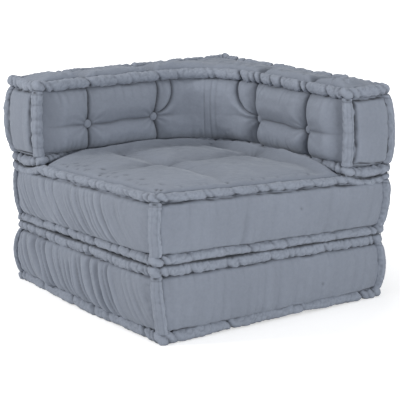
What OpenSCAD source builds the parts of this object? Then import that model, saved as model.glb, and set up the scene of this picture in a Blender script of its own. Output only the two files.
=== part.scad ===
// Corner module of a floor sofa: two stuffed mattresses with an L-shaped bolster on top.
// Cotton panels are drawn together along hand-stitched rolled edges, tufted with twine,
// and the three cushions are tacked to each other at their corners.
// The origin is on the floor under the middle of the module and +Z is up. The bolster's
// corner points to +X and +Y, the open corner of the seat to -X and -Y.

/* [Module] */
// Width and depth over the edge rolls
module_w = 700; // [640:10:820]
// Height of the lower mattress
base_h = 164; // [150:1:220]
// Height of the upper mattress
seat_h = 170; // [150:1:220]
// Height of the back bolster
back_h = 207; // [180:1:280]
// Depth of the back bolster over its rolls
back_t = 155; // [145:1:190]
// Radius of the bolster's rounded inner corner
inner_r = 150; // [100:5:180]

/* [Rolled edges] */
// Radius of a rolled edge at its fullest
roll_r = 13.5; // [11:0.5:16]
// How much the stitches draw a rolled edge in
roll_pinch = 2.5; // [0:0.5:4]
// Radius of a roll's centre line where it turns a corner
roll_turn = 16; // [14:1:24]
// Length of one lump of a rolled edge
lump_l = 128; // [90:1:180]
// How far the corner rolls bow outward at half height
corner_bow = 6; // [0:1:10]

/* [Stuffing] */
// Swell of a mattress side, where 1 lets it leave the rolls at 45 degrees
side_fill = 0.7; // [0.3:0.05:0.85]
// Swell of the bolster's inner face between its rolls
inner_swell = 28; // [14:1:34]
// Height of the seat's mounds over its rolls
seat_crown = 24; // [8:1:34]
// Height of the bolster's top over its rolls
back_crown = 3; // [0:0.5:6]
// Distance over which the seat's mounds rise in front of the bolster
mound_rise = 50; // [40:5:90]

/* [Tufts] */
// Distance of the seat's tufts to either side of the middle
tuft_side = 136; // [100:2:144]
// Distance of the front tufts in front of the middle
tuft_front = 55; // [20:1:80]
// Distance of the rear tufts behind the middle
tuft_rear = 121; // [90:1:140]
// Depth of the seat's tufts below the valleys
seat_tuft_in = 10; // [4:1:16]
// Depth of the valleys between the seat's mounds
seat_valley = 12; // [4:1:18]
// Distance of the outer button from the free end of its arm
button_end = 149; // [110:1:170]
// Distance of the inner button from the start of the rounded corner
button_corner = 45; // [30:1:70]
// Height of the buttons over the bolster's underside
button_z = 93; // [75:1:120]
// Depth of the bolster's tufts below the creases
button_in = 16; // [6:1:20]
// Depth of the creases that run from button to button and to the rolls
crease_in = 9; // [2:1:12]
// Depth of the tufts in the bolster's outer faces
rear_in = 10; // [4:1:16]

/* [Small parts] */
// Thickness of the quilted cotton cover
cover_t = 2.5; // [1.5:0.5:4]
// Diameter of a covered button
button_d = 21; // [16:0.5:26]
// Height of a button's dome
button_h = 6; // [4:0.5:9]
// Diameter of the tufting twine
tie_d = 2.5; // [1.5:0.5:3.5]
// Diameter of a knot of the tufting twine
knot_d = 8; // [6:0.5:10]
// Diameter of a felt washer
washer_d = 14; // [10:1:20]
// Thickness of a felt washer
washer_t = 3; // [2:0.5:4]
// Depth of a washer below the face of the cover
washer_in = 1; // [0.5:0.5:2]
// Radius of a tacking thread
tack_r = 1.2; // [0.8:0.1:1.6]
// Threads side by side in one tack
tack_strands = 3; // [1:1:5]
// Gap between pieces that lie against each other
fit = 0.3; // [0.2:0.05:0.4]

/* [Hidden] */

cotton = [0.54, 0.57, 0.62];
stuffing = [0.90, 0.88, 0.82];
twine = [0.42, 0.45, 0.50];
felt = [0.78, 0.76, 0.70];

// Heights at which the cushions stand on each other
seat_z = base_h + fit;
back_z = seat_z + seat_h + fit;

// Rolls are six-sided, resting on a flat side
roll_sides = 6;
roll_rest = roll_r * cos(180 / roll_sides);
// A roll nests at 45 degrees in the edge of its cushion, touching it at one of its corners
nest = (roll_r * cos(90 / roll_sides) + fit) / sqrt(2);
roll_line = module_w / 2 - roll_r;
seam_line = roll_line - nest;
seam_in = roll_rest + nest;
seam_gap = fit / 2;
filling_in = cover_t + fit;

// A panel falls to its seam over this width, with edges at these distances from the seam
shoulder_slope = 1.15;
shoulder_w = 2 * seam_in / shoulder_slope;
shoulder_stops = [0, 0.45, 1.05] * shoulder_w;

// The seams are drawn in at the corners, to follow the turn of the roll
corner_tuck = (roll_turn - nest) * (1 - 1 / sqrt(2)) + fit;

// Plan of the bolster's inner side
inner_line = module_w / 2 - back_t;
inner_roll = inner_line + roll_r;
inner_seam = inner_roll + nest;
inner_mid = inner_line - inner_r;

// The seat stays level within this distance of the bolster
foot_w = 20;

// Widths of the soft valleys, creases and tufts
valley_w = 45;
tuft_w = 38;
crease_w = 26;
dimple_w = 28;

// Buttons along one arm, measured from the middle of the module
button_far = button_end - module_w / 2;
button_near = inner_mid - button_corner;
button_level = level_of(button_z, back_h);
// Widths of the cells round a seat tuft and round a button
tuft_cell = (tuft_front + tuft_rear) / 4;
dimple_cell = 0.17 * (button_near - button_far);
// Height of a button's rim over the middle of its coned back
button_back = button_h / 4;

round_fn = 32;

// Sewn surfaces. A patch is a list of rows of points, and rows by columns points outwards.

// Turning a patch inside out keeps the way its cells are split
function turned(g) = [for (j = [0:len(g[0]) - 1]) column(g, j)];
function column(g, j) = [for (row = g) row[j]];
function patch_start(p, k) = k == 0 ? 0 : patch_start(p, k - 1) + len(p[k - 1]) * len(p[k - 1][0]);
// Cells are split one way and the other in turn, with eight faces round every second point
function patch_faces(r, c, s) = [
    for (i = [0:r - 2], j = [0:c - 2])
        let (a = s + i * c + j, d = a + c)
        each (i + j) % 2 == 0
            ? [[a, a + 1, d + 1], [a, d + 1, d]]
            : [[a, a + 1, d], [a + 1, d + 1, d]]
];

// A closed solid from patches whose edges meet
module sewn(patches) {
    polyhedron(
        points = [for (g = patches, row = g, pt = row) pt],
        faces = [
            for (k = [0:len(patches) - 1])
                each patch_faces(len(patches[k]), len(patches[k][0]), patch_start(patches, k))
        ]
    );
}

// A cloth panel between an outer face g and an inner face h
module panel(g, h) {
    m = len(g) - 1;
    n = len(g[0]) - 1;
    sewn([
        g, turned(h), [column(g, 0), column(h, 0)], [column(h, n), column(g, n)],
        [h[0], g[0]], [g[m], h[m]]
    ]);
}

// A cloth band that runs round a cushion, between rows g outside and rows h inside
module band(g, h) {
    m = len(g) - 1;
    sewn([g, turned(h), [h[0], g[0]], [g[m], h[m]]]);
}

// A tube through rings of points, closed on itself or with flat ends
module tube(rings, closed) {
    n = len(rings);
    s = len(rings[0]);
    sides = [
        for (i = [0:n - (closed ? 1 : 2)], j = [0:s - 1], k = [0:1])
            let (a = i * s + j, b = i * s + (j + 1) % s, d = ((i + 1) % n) * s + (j + 1) % s)
            k == 0 ? [a, b, d] : [a, d, ((i + 1) % n) * s + j]
    ];
    caps = closed ? [] : [[for (j = [s - 1:-1:0]) j], [for (j = [0:s - 1]) (n - 1) * s + j]];
    polyhedron(points = [for (ring = rings, pt = ring) pt], faces = concat(sides, caps));
}

// Cushion profile. The level w runs from -1 at the lower seam to 1 at the upper seam, and
// e is the depth of a surface below the outer face of the cover.

function seam_reach(h) = h / 2 - seam_in;
function level_of(z, h) = (z - h / 2) / seam_reach(h);
function level_z(w, h, e) = h / 2 + w * (seam_reach(h) - e);
function round_out(w) = 1 - w * w;
function belly(h) = side_fill * seam_reach(h) / 2;
function bump(d, width) = exp(-pow(d / width, 2));
function fade4(t) = pow(t, 4);

// Fall of a panel towards a seam, 0 on its flat and 1 at the seam
function shoulder(t, half_w) = pow(max(0, (abs(t) - 1) * half_w / shoulder_w + 1), 2);
function tuck(t) = corner_tuck * shoulder(t, seam_line);

// How far a side stands out beyond the seam line at position t, which is -1 to 1 along it
function side_out(t, w, h) =
    round_out(w) * (corner_bow + belly(h) * (1 - fade4(t))) - w * w * tuck(t);
// How far the same point moves along the side
function side_along(t, w) = corner_bow * round_out(w) * fade4(t) - w * w * tuck(t);

// Mattresses

// Places along a side: the edges of the shoulders, with others between them
function side_stops(marks) =
    let (k = [for (d = shoulder_stops) 1 - d / seam_line])
    concat([for (t = k) -t], marks, [for (i = [2:-1:0]) k[i]]);
function tuft_stops(a, b) =
    let (g = tuft_cell, foot = inner_line - foot_w * 3 / 4)
    side_stops([a - g, a, a + g, (a + b) / 2, b - g, b, foot] / seam_line);

// Places along X and Y for the covers of a flat panel, the base and the seat
flat_grid = [side_stops([]), side_stops([])];
base_grid = [side_stops([-0.45, 0, 0.45]), side_stops([-0.45, 0, 0.45])];
seat_grid = [tuft_stops(-tuft_side, tuft_side), tuft_stops(-tuft_front, tuft_rear)];
side_levels = [1, 0.5, 0, -0.5, -1];

// Places round a mattress, from the open corner and back to it
function round_stops(xs, ys) =
    let (m = len(xs) - 1, n = len(ys) - 1)
    concat(
        [for (i = [0:m - 1]) [xs[i], -1]],
        [for (j = [0:n - 1]) [1, ys[j]]],
        [for (i = [m:-1:1]) [xs[i], 1]],
        [for (j = [n:-1:0]) [-1, ys[j]]]
    );

function band_rows(grid, h, e, gap) = [
    for (w = side_levels) [
        for (p = round_stops(grid.x, grid.y))
            let (u = p.x, v = p.y, c = seam_line - e)
            [
                u * (c + (abs(u) == 1 ? side_out(v, w, h) : side_along(u, w))),
                v * (c + (abs(v) == 1 ? side_out(u, w, h) : side_along(v, w))),
                level_z(w, h, e + gap)
            ]
    ]
];

function tuft_marks() = [
    for (x = [-tuft_side, tuft_side], y = [-tuft_front, tuft_rear]) [x, y]
];
// Distance of a place on the seat in front of the bolster's inner face
function seat_open(x, y) =
    let (a = x - inner_mid, b = y - inner_mid)
    inner_r - (a > 0 && b > 0 ? norm([a, b]) : max(a, b));
function soft_step(t) = let (s = min(1, max(0, t))) s * s * (3 - 2 * s);
// Height of the seat's mounds, with valleys between the tuft lines and a pit at each tuft
function seat_mound(x, y, u, v) =
    let (
        rise = soft_step((seat_open(x, y) - foot_w) / mound_rise),
        edge = (1 - fade4(u)) * (1 - fade4(v)) * rise,
        across = max([for (t = [-tuft_side, tuft_side]) bump(x - t, valley_w)]),
        along = max([for (t = [-tuft_front, tuft_rear]) bump(y - t, valley_w)]),
        pits = [for (t = tuft_marks()) bump(norm([x, y] - t), tuft_w)]
    )
    edge * (seat_crown - seat_valley * max(across, along) - seat_tuft_in * max(pits));

// Upper face of a mattress, in columns along Y, with the seat's mounds if soft is true
function face_rows(grid, h, e, gap, soft) = [
    for (u = grid.x) [
        for (v = grid.y)
            let (
                c = seam_line - e - gap - tuck(u) * shoulder(v, seam_line),
                flat = (1 - shoulder(u, seam_line)) * (1 - shoulder(v, seam_line)),
                mound = soft ? seat_mound(u * seam_line, v * seam_line, u, v) : 0
            )
            [u * c, v * c, h - e - seam_in * (1 - flat) + mound]
    ]
];
// Lower face: the flat upper face turned over
function under_rows(grid, h, e, gap) =
    turned([for (row = face_rows(grid, h, e, gap, false)) [for (p = row) [p.x, p.y, h - p.z]]]);

module at_tufts() {
    for (t = tuft_marks())
        translate(t)
            children();
}

// Round well for a felt washer, from the cushion's outer plane downwards
module washer_well() {
    translate([0, 0, -washer_in - washer_t - fit])
        cylinder(d = washer_d + 2 * fit, h = washer_in + washer_t + 1, $fn = round_fn);
}

module tie_bore(h) {
    translate([0, 0, -h])
        cylinder(d = tie_d + 2 * fit, h = 3 * h, $fn = round_fn);
}

module mattress_side_band(grid, h) {
    band(band_rows(grid, h, 0, seam_gap), band_rows(grid, h, cover_t, seam_gap));
}

module mattress_bottom_panel(h) {
    difference() {
        panel(under_rows(flat_grid, h, 0, seam_gap), under_rows(flat_grid, h, cover_t, seam_gap));
        at_tufts()
            mirror([0, 0, 1])
                washer_well();
    }
}

module mattress_filling(grid, h, soft) {
    difference() {
        sewn([
            band_rows(grid, h, filling_in, 0), face_rows(grid, h, filling_in, 0, soft),
            under_rows(grid, h, filling_in, 0)
        ]);
        at_tufts() {
            tie_bore(h);
            mirror([0, 0, 1])
                washer_well();
            if (!soft)
                translate([0, 0, h])
                    washer_well();
        }
    }
}

// Twine with a washer at its lower end, whose underside is at the origin
module tie(l) {
    cylinder(d = washer_d, h = washer_t, $fn = round_fn);
    cylinder(d = tie_d, h = l, $fn = round_fn);
}

// Rolled edges. A path is a list of [place, heading, radius], with the open air to its right.

function run(p, q) =
    let (n = 2 * max(1, round(norm(q - p) / lump_l)))
    [
        for (j = [0:n])
            [p + (q - p) * j / n, atan2(q.y - p.y, q.x - p.x), roll_r - (j % 2) * roll_pinch]
    ];
// Points between the ends of a turn about c, to the left with a positive radius
function turn(c, r, from, to, n) = [
    for (j = [1:n - 1])
        let (a = from + (to - from) * j / n)
        [c + r * [sin(a), -cos(a)], a, roll_r]
];
function roll_rings(path, z) = [
    for (s = path) [
        for (k = [0:roll_sides - 1])
            let (a = k * 360 / roll_sides, out = s[2] * cos(a))
            [s[0].x + out * sin(s[1]), s[0].y - out * cos(s[1]), z + s[2] * sin(a)]
    ]
];

roll_end = roll_line - roll_turn;
square_path = [
    for (k = [0:3])
        let (a = 90 * k, m = [[cos(a), sin(a)], [-sin(a), cos(a)]])
        each [
            for (s = concat(
                run([-roll_end, -roll_line], [roll_end, -roll_line]),
                turn([roll_end, -roll_end], roll_turn, 0, 90, 2)
            ))
                [s[0] * m, s[1] + a, s[2]]
        ]
];
inner_end = inner_roll + roll_turn;
inner_turns = 5;
bolster_path = concat(
    run([-roll_end, inner_roll], [inner_mid, inner_roll]),
    turn([inner_mid, inner_mid], -inner_r - roll_r, 0, -90, inner_turns),
    run([inner_roll, inner_mid], [inner_roll, -roll_end]),
    turn([inner_end, -roll_end], roll_turn, -90, 0, 2),
    run([inner_end, -roll_line], [roll_end, -roll_line]),
    turn([roll_end, -roll_end], roll_turn, 0, 90, 2),
    run([roll_line, -roll_end], [roll_line, roll_end]),
    turn([roll_end, roll_end], roll_turn, 90, 180, 2),
    run([roll_end, roll_line], [-roll_end, roll_line]),
    turn([-roll_end, roll_end], roll_turn, 180, 270, 2),
    run([-roll_line, roll_end], [-roll_line, inner_end]),
    turn([-roll_end, inner_end], roll_turn, 270, 360, 2)
);

module low_roll(path) {
    tube(roll_rings(path, roll_rest), true);
}

module high_roll(path, h) {
    tube(roll_rings(path, h - roll_rest), true);
}

// Upright roll between the rolls of a cushion, bowed outward along the direction given
module corner_roll(place, bow, h) {
    low = 2 * roll_rest + fit;
    rings = [
        for (i = [0:3])
            let (
                z = low + (h - 2 * low) * i / 3,
                c = place + bow * corner_bow * round_out(level_of(z, h)),
                r = i % 3 == 0 ? roll_r - roll_pinch : roll_r
            )
            [
                for (k = [0:roll_sides - 1])
                    let (a = -k * 360 / roll_sides)
                    [c.x + r * cos(a), c.y + r * sin(a), z]
            ]
    ];
    tube(rings, false);
}

module mattress_corner_rolls(h) {
    for (x = [-1, 1], y = [-1, 1])
        corner_roll([x, y] * roll_line, [x, y], h);
}

// Bolster. A station i runs from the free end of the rear arm to that of the side arm, and
// the second half mirrors the first.

corner_cells = 3;
arm_stops = concat(
    shoulder_stops - [for (d = shoulder_stops) seam_line],
    [button_far - dimple_cell, button_far, button_far + dimple_cell],
    [(button_far + button_near) / 2, button_near - dimple_cell, button_near, inner_mid]
);
far_station = 4;
near_station = 8;
round_station = 9;
mid_station = round_station + corner_cells;
all_stations = [for (i = [0:2 * mid_station]) i];
// On the flat underside the straight parts need no stations between their ends
flat_stations = [for (i = all_stations) if (near_half(i) < 3 || near_half(i) >= round_station) i];

function corner_angle(i) = max(0, i - round_station) * 45 / corner_cells;
function outer_stop(i) =
    i <= round_station
        ? arm_stops[i]
        : inner_mid + (seam_line - inner_mid) * tan(corner_angle(i));
// Length along the inner face, counted from the middle line of the module
function inner_stop(i) =
    i <= round_station ? arm_stops[i] : inner_mid + inner_r * corner_angle(i) * PI / 180;
// 1 at the free end of the arm, falling to 0 at the outer button
function end_share(i) = fade4(max(0, (button_far - inner_stop(i)) / (button_far + seam_line)));
function mirrored(i, p) = i > mid_station ? [p.y, p.x, p.z] : p;
function near_half(i) = i > mid_station ? 2 * mid_station - i : i;
function at_button(i, width) =
    max([for (b = [button_far, button_near]) bump(inner_stop(i) - b, width)]);
function at_dimple(i, w) =
    max([
        for (b = [button_far, button_near])
            bump(norm([inner_stop(i) - b, (w - button_level) * seam_reach(back_h)]), dimple_w)
    ]);

// Swell of the inner face at a station of the rear arm, with its creases and tufts
function inner_out(i, w) =
    let (
        level_crease = inner_stop(i) > button_near
            ? bump(inner_stop(i) - button_near, crease_w)
            : 1 - end_share(i),
        across = at_button(i, crease_w),
        along = level_crease * bump((w - button_level) * seam_reach(back_h), crease_w)
    )
    round_out(w) * (
        (1 - end_share(i)) * (inner_swell - crease_in * (across + along))
            - button_in * at_dimple(i, w)
    );

function inner_point(j, w, e, gap) =
    let (
        i = near_half(j),
        t = inner_stop(i) / seam_line,
        a = corner_angle(i),
        back = e + w * w * tuck(t) - inner_out(i, w),
        drift = e * shoulder(t, seam_line) - side_along(t, w) * (i < far_station ? 1 : 0),
        p = i <= round_station
            ? [arm_stops[i] + drift, inner_seam + back]
            : [inner_mid, inner_mid] + (inner_seam - inner_mid + back) * [sin(a), cos(a)]
    )
    mirrored(j, [p.x, p.y, level_z(w, back_h, e + gap)]);

function outer_point(j, w, e, gap) =
    let (
        i = near_half(j),
        t = outer_stop(i) / seam_line,
        dent = rear_in * round_out(w) * at_dimple(i, w),
        x = t * (seam_line - e + side_along(t, w)),
        y = seam_line - e + side_out(t, w, back_h) - dent
    )
    mirrored(j, [x, y, level_z(w, back_h, e + gap)]);

// Height of the bolster's upper face under the plane of its rolls, q from -1 outside to 1 inside
seam_half = (seam_line - inner_seam) / 2;
across_stops = [-1, -0.66, -(1 - shoulder_w / seam_half), 1 - shoulder_w / seam_half, 0.66, 1];
function top_fall(i, q) =
    1 - (1 - shoulder(q, seam_half)) * (1 - shoulder(inner_stop(i) / seam_line, seam_line));
function top_lift(i, q) =
    (1 - q * q) * (1 - top_fall(i, q)) * (back_crown - crease_in * at_button(i, crease_w));

function top_rows(stations, e, gap, soft) = [
    for (q = across_stops) [
        for (j = stations)
            let (
                i = near_half(j),
                a = outer_point(j, 1, e + gap, 0),
                b = inner_point(j, 1, e + gap, 0),
                out = tuck(inner_stop(i) / seam_line) * (1 - fade4(q)),
                p = a + (b - a) * (q + 1) / 2 - (j > mid_station ? [0, out, 0] : [out, 0, 0])
            )
            [p.x, p.y, back_h - e - seam_in * top_fall(i, q) + (soft ? top_lift(i, q) : 0)]
    ]
];
function base_rows(stations, e, gap) =
    turned([for (row = top_rows(stations, e, gap, false)) [for (p = row) [p.x, p.y, back_h - p.z]]]);

back_levels = concat(
    [-1, (button_level - 1) / 2],
    [for (k = [0:3]) button_level + k * (1 - button_level) / 3]
);

function inner_rows(e, gap) =
    turned([for (w = back_levels) [for (j = all_stations) inner_point(j, w, e, gap)]]);
function outer_rows(e, gap) =
    [for (w = back_levels) [for (j = all_stations) outer_point(j, w, e, gap)]];
// Free end of the rear arm
function end_rows(e, gap) = turned([
    for (w = back_levels) [
        for (q = across_stops)
            let (
                a = outer_point(0, w, e, 0),
                b = inner_point(0, w, e, 0),
                p = a + (b - a) * (q + 1) / 2,
                out = (belly(back_h) * round_out(w) + corner_tuck * w * w) * (1 - fade4(q))
            )
            [p.x - out, p.y, level_z(w, back_h, e + gap)]
    ]
]);
function other_end(rows) = turned([for (row = rows) [for (p = row) [p.y, p.x, p.z]]]);

// Stands its children on the buttons of both arms, with their +Z out of the inner face
module at_inner_buttons(lift) {
    for (i = [far_station, near_station], side = [0, 1])
        let (p = inner_point(i, button_level, 0, 0))
        mirror(side * [1, -1, 0])
            translate([p.x, p.y - lift, p.z])
                rotate([90, 0, 0])
                    children();
}

module at_outer_buttons(lift) {
    for (i = [far_station, near_station], side = [0, 1])
        let (p = outer_point(i, button_level, 0, 0))
        mirror(side * [1, -1, 0])
            translate([inner_point(i, button_level, 0, 0).x, p.y + lift, p.z])
                rotate([-90, 0, 0])
                    children();
}

// Height at which a button's rim meets the walls of a dimple, given the dimple's middle and
// the points round it
function rim_lift(c, ring) =
    let (slope = max([for (p = ring) abs(p.y - c.y) / norm([p.x - c.x, p.z - c.z])]))
    fit + max(0, button_d / 2 * slope / cos(22.5) - button_back);
function near_points() = [for (i = [-1, 0, 1], k = [1, 2, 3]) if (i != 0 || k != 2) [i, k]];
inner_lift = max([
    for (i = [far_station, near_station])
        rim_lift(
            inner_point(i, button_level, 0, 0),
            [for (n = near_points()) inner_point(i + n.x, back_levels[n.y], 0, 0)]
        )
]);
outer_lift = max([
    for (i = [far_station, near_station])
        rim_lift(
            outer_point(i, button_level, 0, 0),
            [for (n = near_points()) outer_point(i + n.x, back_levels[n.y], 0, 0)]
        )
]);

module covered_button() {
    rotate_extrude($fn = 48)
        polygon([
            [0, 0],
            for (a = [0:15:90])
                [button_d / 2 * cos(a), button_back + (button_h - button_back) * sin(a)],
            [0, button_h]
        ]);
}

module button_bores() {
    at_inner_buttons(0)
        translate([0, 0, -2 * back_t])
            cylinder(d = tie_d + 2 * fit, h = 4 * back_t, $fn = round_fn);
}

// Threads that hook round two rolls that lie on each other, out along +X
module tack() {
    hook_r = roll_r + tack_r + fit;
    hook_angle = 40;
    centre_z = roll_rest + fit / 2;
    pitch = 2 * tack_r + fit;
    for (k = [0:tack_strands - 1], side = [0, 1])
        translate([0, (k - (tack_strands - 1) / 2) * pitch, 0])
            mirror([0, 0, side]) {
                translate([0, 0, centre_z])
                    rotate([90, 0, 0])
                        rotate_extrude(angle = hook_angle, $fn = 48)
                            translate([hook_r, 0])
                                circle(tack_r, $fn = 16);
                translate([hook_r, 0, 0])
                    cylinder(r = tack_r, h = centre_z, $fn = 16);
            }
}

// Place of a roll's middle where it turns the corner
turn_mid = roll_end + roll_turn / sqrt(2);

module corner_tacks(angles) {
    for (a = angles)
        rotate([0, 0, a])
            translate([turn_mid * sqrt(2), 0, 0])
                tack();
}

// Lower mattress

module base_bottom_panel() {
    color(cotton)
        mattress_bottom_panel(base_h);
}

module base_side_band() {
    color(cotton)
        mattress_side_band(base_grid, base_h);
}

module base_top_panel() {
    color(cotton)
        translate([0, 0, base_h])
            mirror([0, 0, 1])
                mattress_bottom_panel(base_h);
}

module base_filling() {
    color(stuffing)
        mattress_filling(base_grid, base_h, false);
}

module base_bottom_roll() {
    color(cotton)
        low_roll(square_path);
}

module base_top_roll() {
    color(cotton)
        high_roll(square_path, base_h);
}

module base_corner_rolls() {
    color(cotton)
        mattress_corner_rolls(base_h);
}

module base_ties() {
    half = base_h / 2 - washer_in;
    color(felt)
        at_tufts()
            translate([0, 0, base_h / 2])
                for (side = [0, 1])
                    mirror([0, 0, side])
                        translate([0, 0, -half])
                            tie(half);
}

// Upper mattress

module seat_bottom_panel() {
    color(cotton)
        translate([0, 0, seat_z])
            mattress_bottom_panel(seat_h);
}

module seat_side_band() {
    color(cotton)
        translate([0, 0, seat_z])
            mattress_side_band(seat_grid, seat_h);
}

module seat_top_panel() {
    color(cotton)
        translate([0, 0, seat_z])
            difference() {
                panel(
                    face_rows(seat_grid, seat_h, 0, seam_gap, true),
                    face_rows(seat_grid, seat_h, cover_t, seam_gap, true)
                );
                at_tufts()
                    tie_bore(seat_h);
            }
}

module seat_filling() {
    color(stuffing)
        translate([0, 0, seat_z])
            mattress_filling(seat_grid, seat_h, true);
}

module seat_bottom_roll() {
    color(cotton)
        translate([0, 0, seat_z])
            low_roll(square_path);
}

module seat_top_roll() {
    color(cotton)
        translate([0, 0, seat_z])
            high_roll(square_path, seat_h);
}

module seat_corner_rolls() {
    color(cotton)
        translate([0, 0, seat_z])
            mattress_corner_rolls(seat_h);
}

module seat_ties() {
    color(twine)
        translate([0, 0, seat_z])
            for (t = tuft_marks()) {
                pit = seat_h + seat_mound(t.x, t.y, t.x / seam_line, t.y / seam_line);
                knot_z = pit + knot_d / 2 + fit;
                translate([t.x, t.y, washer_in])
                    tie(knot_z - washer_in);
                translate([t.x, t.y, knot_z])
                    sphere(d = knot_d, $fn = round_fn);
            }
}

// Back bolster

module back_bottom_panel() {
    color(cotton)
        translate([0, 0, back_z])
            panel(base_rows(flat_stations, 0, seam_gap), base_rows(flat_stations, cover_t, seam_gap));
}

module back_outer_panel() {
    color(cotton)
        translate([0, 0, back_z])
            difference() {
                panel(outer_rows(0, seam_gap), outer_rows(cover_t, seam_gap));
                button_bores();
            }
}

module back_inner_panel() {
    color(cotton)
        translate([0, 0, back_z])
            difference() {
                panel(inner_rows(0, seam_gap), inner_rows(cover_t, seam_gap));
                button_bores();
            }
}

module back_end_panels() {
    color(cotton)
        translate([0, 0, back_z]) {
            panel(end_rows(0, seam_gap), end_rows(cover_t, seam_gap));
            panel(other_end(end_rows(0, seam_gap)), other_end(end_rows(cover_t, seam_gap)));
        }
}

module back_top_panel() {
    color(cotton)
        translate([0, 0, back_z])
            panel(
                top_rows(all_stations, 0, seam_gap, true),
                top_rows(all_stations, cover_t, seam_gap, true)
            );
}

module back_filling() {
    ends = end_rows(filling_in, 0);
    color(stuffing)
        translate([0, 0, back_z])
            difference() {
                sewn([
                    top_rows(all_stations, filling_in, 0, true),
                    base_rows(all_stations, filling_in, 0),
                    outer_rows(filling_in, 0), inner_rows(filling_in, 0), ends, other_end(ends)
                ]);
                button_bores();
            }
}

module back_bottom_roll() {
    color(cotton)
        translate([0, 0, back_z])
            low_roll(bolster_path);
}

module back_top_roll() {
    color(cotton)
        translate([0, 0, back_z])
            high_roll(bolster_path, back_h);
}

module back_corner_rolls() {
    color(cotton)
        translate([0, 0, back_z]) {
            for (s = [[-1, 1], [1, 1], [1, -1]])
                corner_roll(s * roll_line, s, back_h);
            corner_roll([-roll_line, inner_roll], [-1, 0], back_h);
            corner_roll([inner_roll, -roll_line], [0, -1], back_h);
        }
}

module face_buttons() {
    color(cotton)
        translate([0, 0, back_z])
            at_inner_buttons(inner_lift)
                covered_button();
}

module rear_buttons() {
    color(cotton)
        translate([0, 0, back_z])
            at_outer_buttons(outer_lift)
                covered_button();
}

// Twine from the back of each face button to the back of the rear button behind it
module button_ties() {
    color(twine)
        translate([0, 0, back_z])
            for (i = [far_station, near_station], side = [0, 1]) {
                p = inner_point(i, button_level, 0, 0);
                front = p.y - inner_lift;
                rear = outer_point(i, button_level, 0, 0).y + outer_lift;
                mirror(side * [1, -1, 0])
                    translate([p.x, front, p.z])
                        rotate([-90, 0, 0])
                            cylinder(d = tie_d, h = rear - front, $fn = round_fn);
            }
}

// Tacks between the cushions

module seat_tacks() {
    color(twine)
        translate([0, 0, seat_z - fit / 2])
            corner_tacks([45, 135, 225, 315]);
}

module back_tacks() {
    color(twine)
        translate([0, 0, back_z - fit / 2]) {
            corner_tacks([-45, 45, 135]);
            for (side = [0, 1])
                mirror(side * [1, -1, 0])
                    translate([-roll_line, inner_end, 0])
                        rotate([0, 0, 180])
                            tack();
        }
}

base_bottom_panel();
base_side_band();
base_top_panel();
base_filling();
base_bottom_roll();
base_top_roll();
base_corner_rolls();
base_ties();
seat_bottom_panel();
seat_side_band();
seat_top_panel();
seat_filling();
seat_bottom_roll();
seat_top_roll();
seat_corner_rolls();
seat_ties();
back_bottom_panel();
back_outer_panel();
back_inner_panel();
back_end_panels();
back_top_panel();
back_filling();
back_bottom_roll();
back_top_roll();
back_corner_rolls();
face_buttons();
rear_buttons();
button_ties();
seat_tacks();
back_tacks();
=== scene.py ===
import bpy
import numpy as np
from numpy import (
    arctan2, array, clip, concatenate, cos, cross, exp, hypot, linspace, maximum, meshgrid, minimum,
    pi, sign, sin, sqrt, stack, where)
from numpy.linalg import norm
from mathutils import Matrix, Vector


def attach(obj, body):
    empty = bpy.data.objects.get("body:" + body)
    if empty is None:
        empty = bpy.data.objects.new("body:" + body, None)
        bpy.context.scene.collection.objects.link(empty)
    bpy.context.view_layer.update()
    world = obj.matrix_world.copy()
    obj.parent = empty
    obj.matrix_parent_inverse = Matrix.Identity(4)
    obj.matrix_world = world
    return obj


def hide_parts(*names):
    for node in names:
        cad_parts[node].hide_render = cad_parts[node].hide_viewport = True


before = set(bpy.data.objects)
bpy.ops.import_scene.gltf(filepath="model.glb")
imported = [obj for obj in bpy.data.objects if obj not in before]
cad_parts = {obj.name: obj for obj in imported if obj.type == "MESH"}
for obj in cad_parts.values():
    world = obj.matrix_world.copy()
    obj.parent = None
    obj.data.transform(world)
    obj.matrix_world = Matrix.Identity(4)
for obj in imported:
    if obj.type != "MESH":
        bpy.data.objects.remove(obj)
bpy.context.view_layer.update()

MM = 0.001  # in metres
HALF = 350.0  # half of a mattress over its rolls
ROLL, ROLL_HIGH = 13.5, 12.6  # half the width and half the height of a rolled edge
ROLL_REST = 11.8  # height of its middle line over what it rests on
LINE = HALF - ROLL  # the middle lines of the outer rolls
SEAM_BEHIND = 6.6  # how far the panels' seams lie behind those lines
SEAM = LINE - SEAM_BEHIND
SEAM_IN = 18.4  # how far they lie inside a cushion's foot and head
BASE_H, SEAT_H, BACK_H = 164.0, 170.0, 207.0
SEAT_Z, BACK_Z = 164.3, 334.6
POST_IN = 19  # how far the corner rolls end inside foot and head
INNER = 195.0  # the bolster's inner faces over its rolls
INNER_LINE = INNER + ROLL
INNER_SEAM = INNER_LINE + SEAM_BEHIND
FILLET = 150.0  # radius of its rounded inner corner
MID = INNER - FILLET
ARM_MIDDLE, ARM_HALF = (SEAM + INNER_SEAM) / 2, (SEAM - INNER_SEAM) / 2
BUTTONS, BUTTON_Z = (-201.0, 0.0), 93.0  # along an arm, and over the bolster's foot
TUFT_X, TUFT_Y = 136.0, (-55.0, 121.0)  # tufts of the seat, on both sides of its middle
FAR_ROW = 60  # tufts beyond this y are drawn in less
DIAGONAL = 0.5 ** 0.5

CELLS = 32  # side of the lattice of random values
LATTICE = np.random.RandomState(7).uniform(-1.0, 1.0, (CELLS, CELLS, CELLS))


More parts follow.
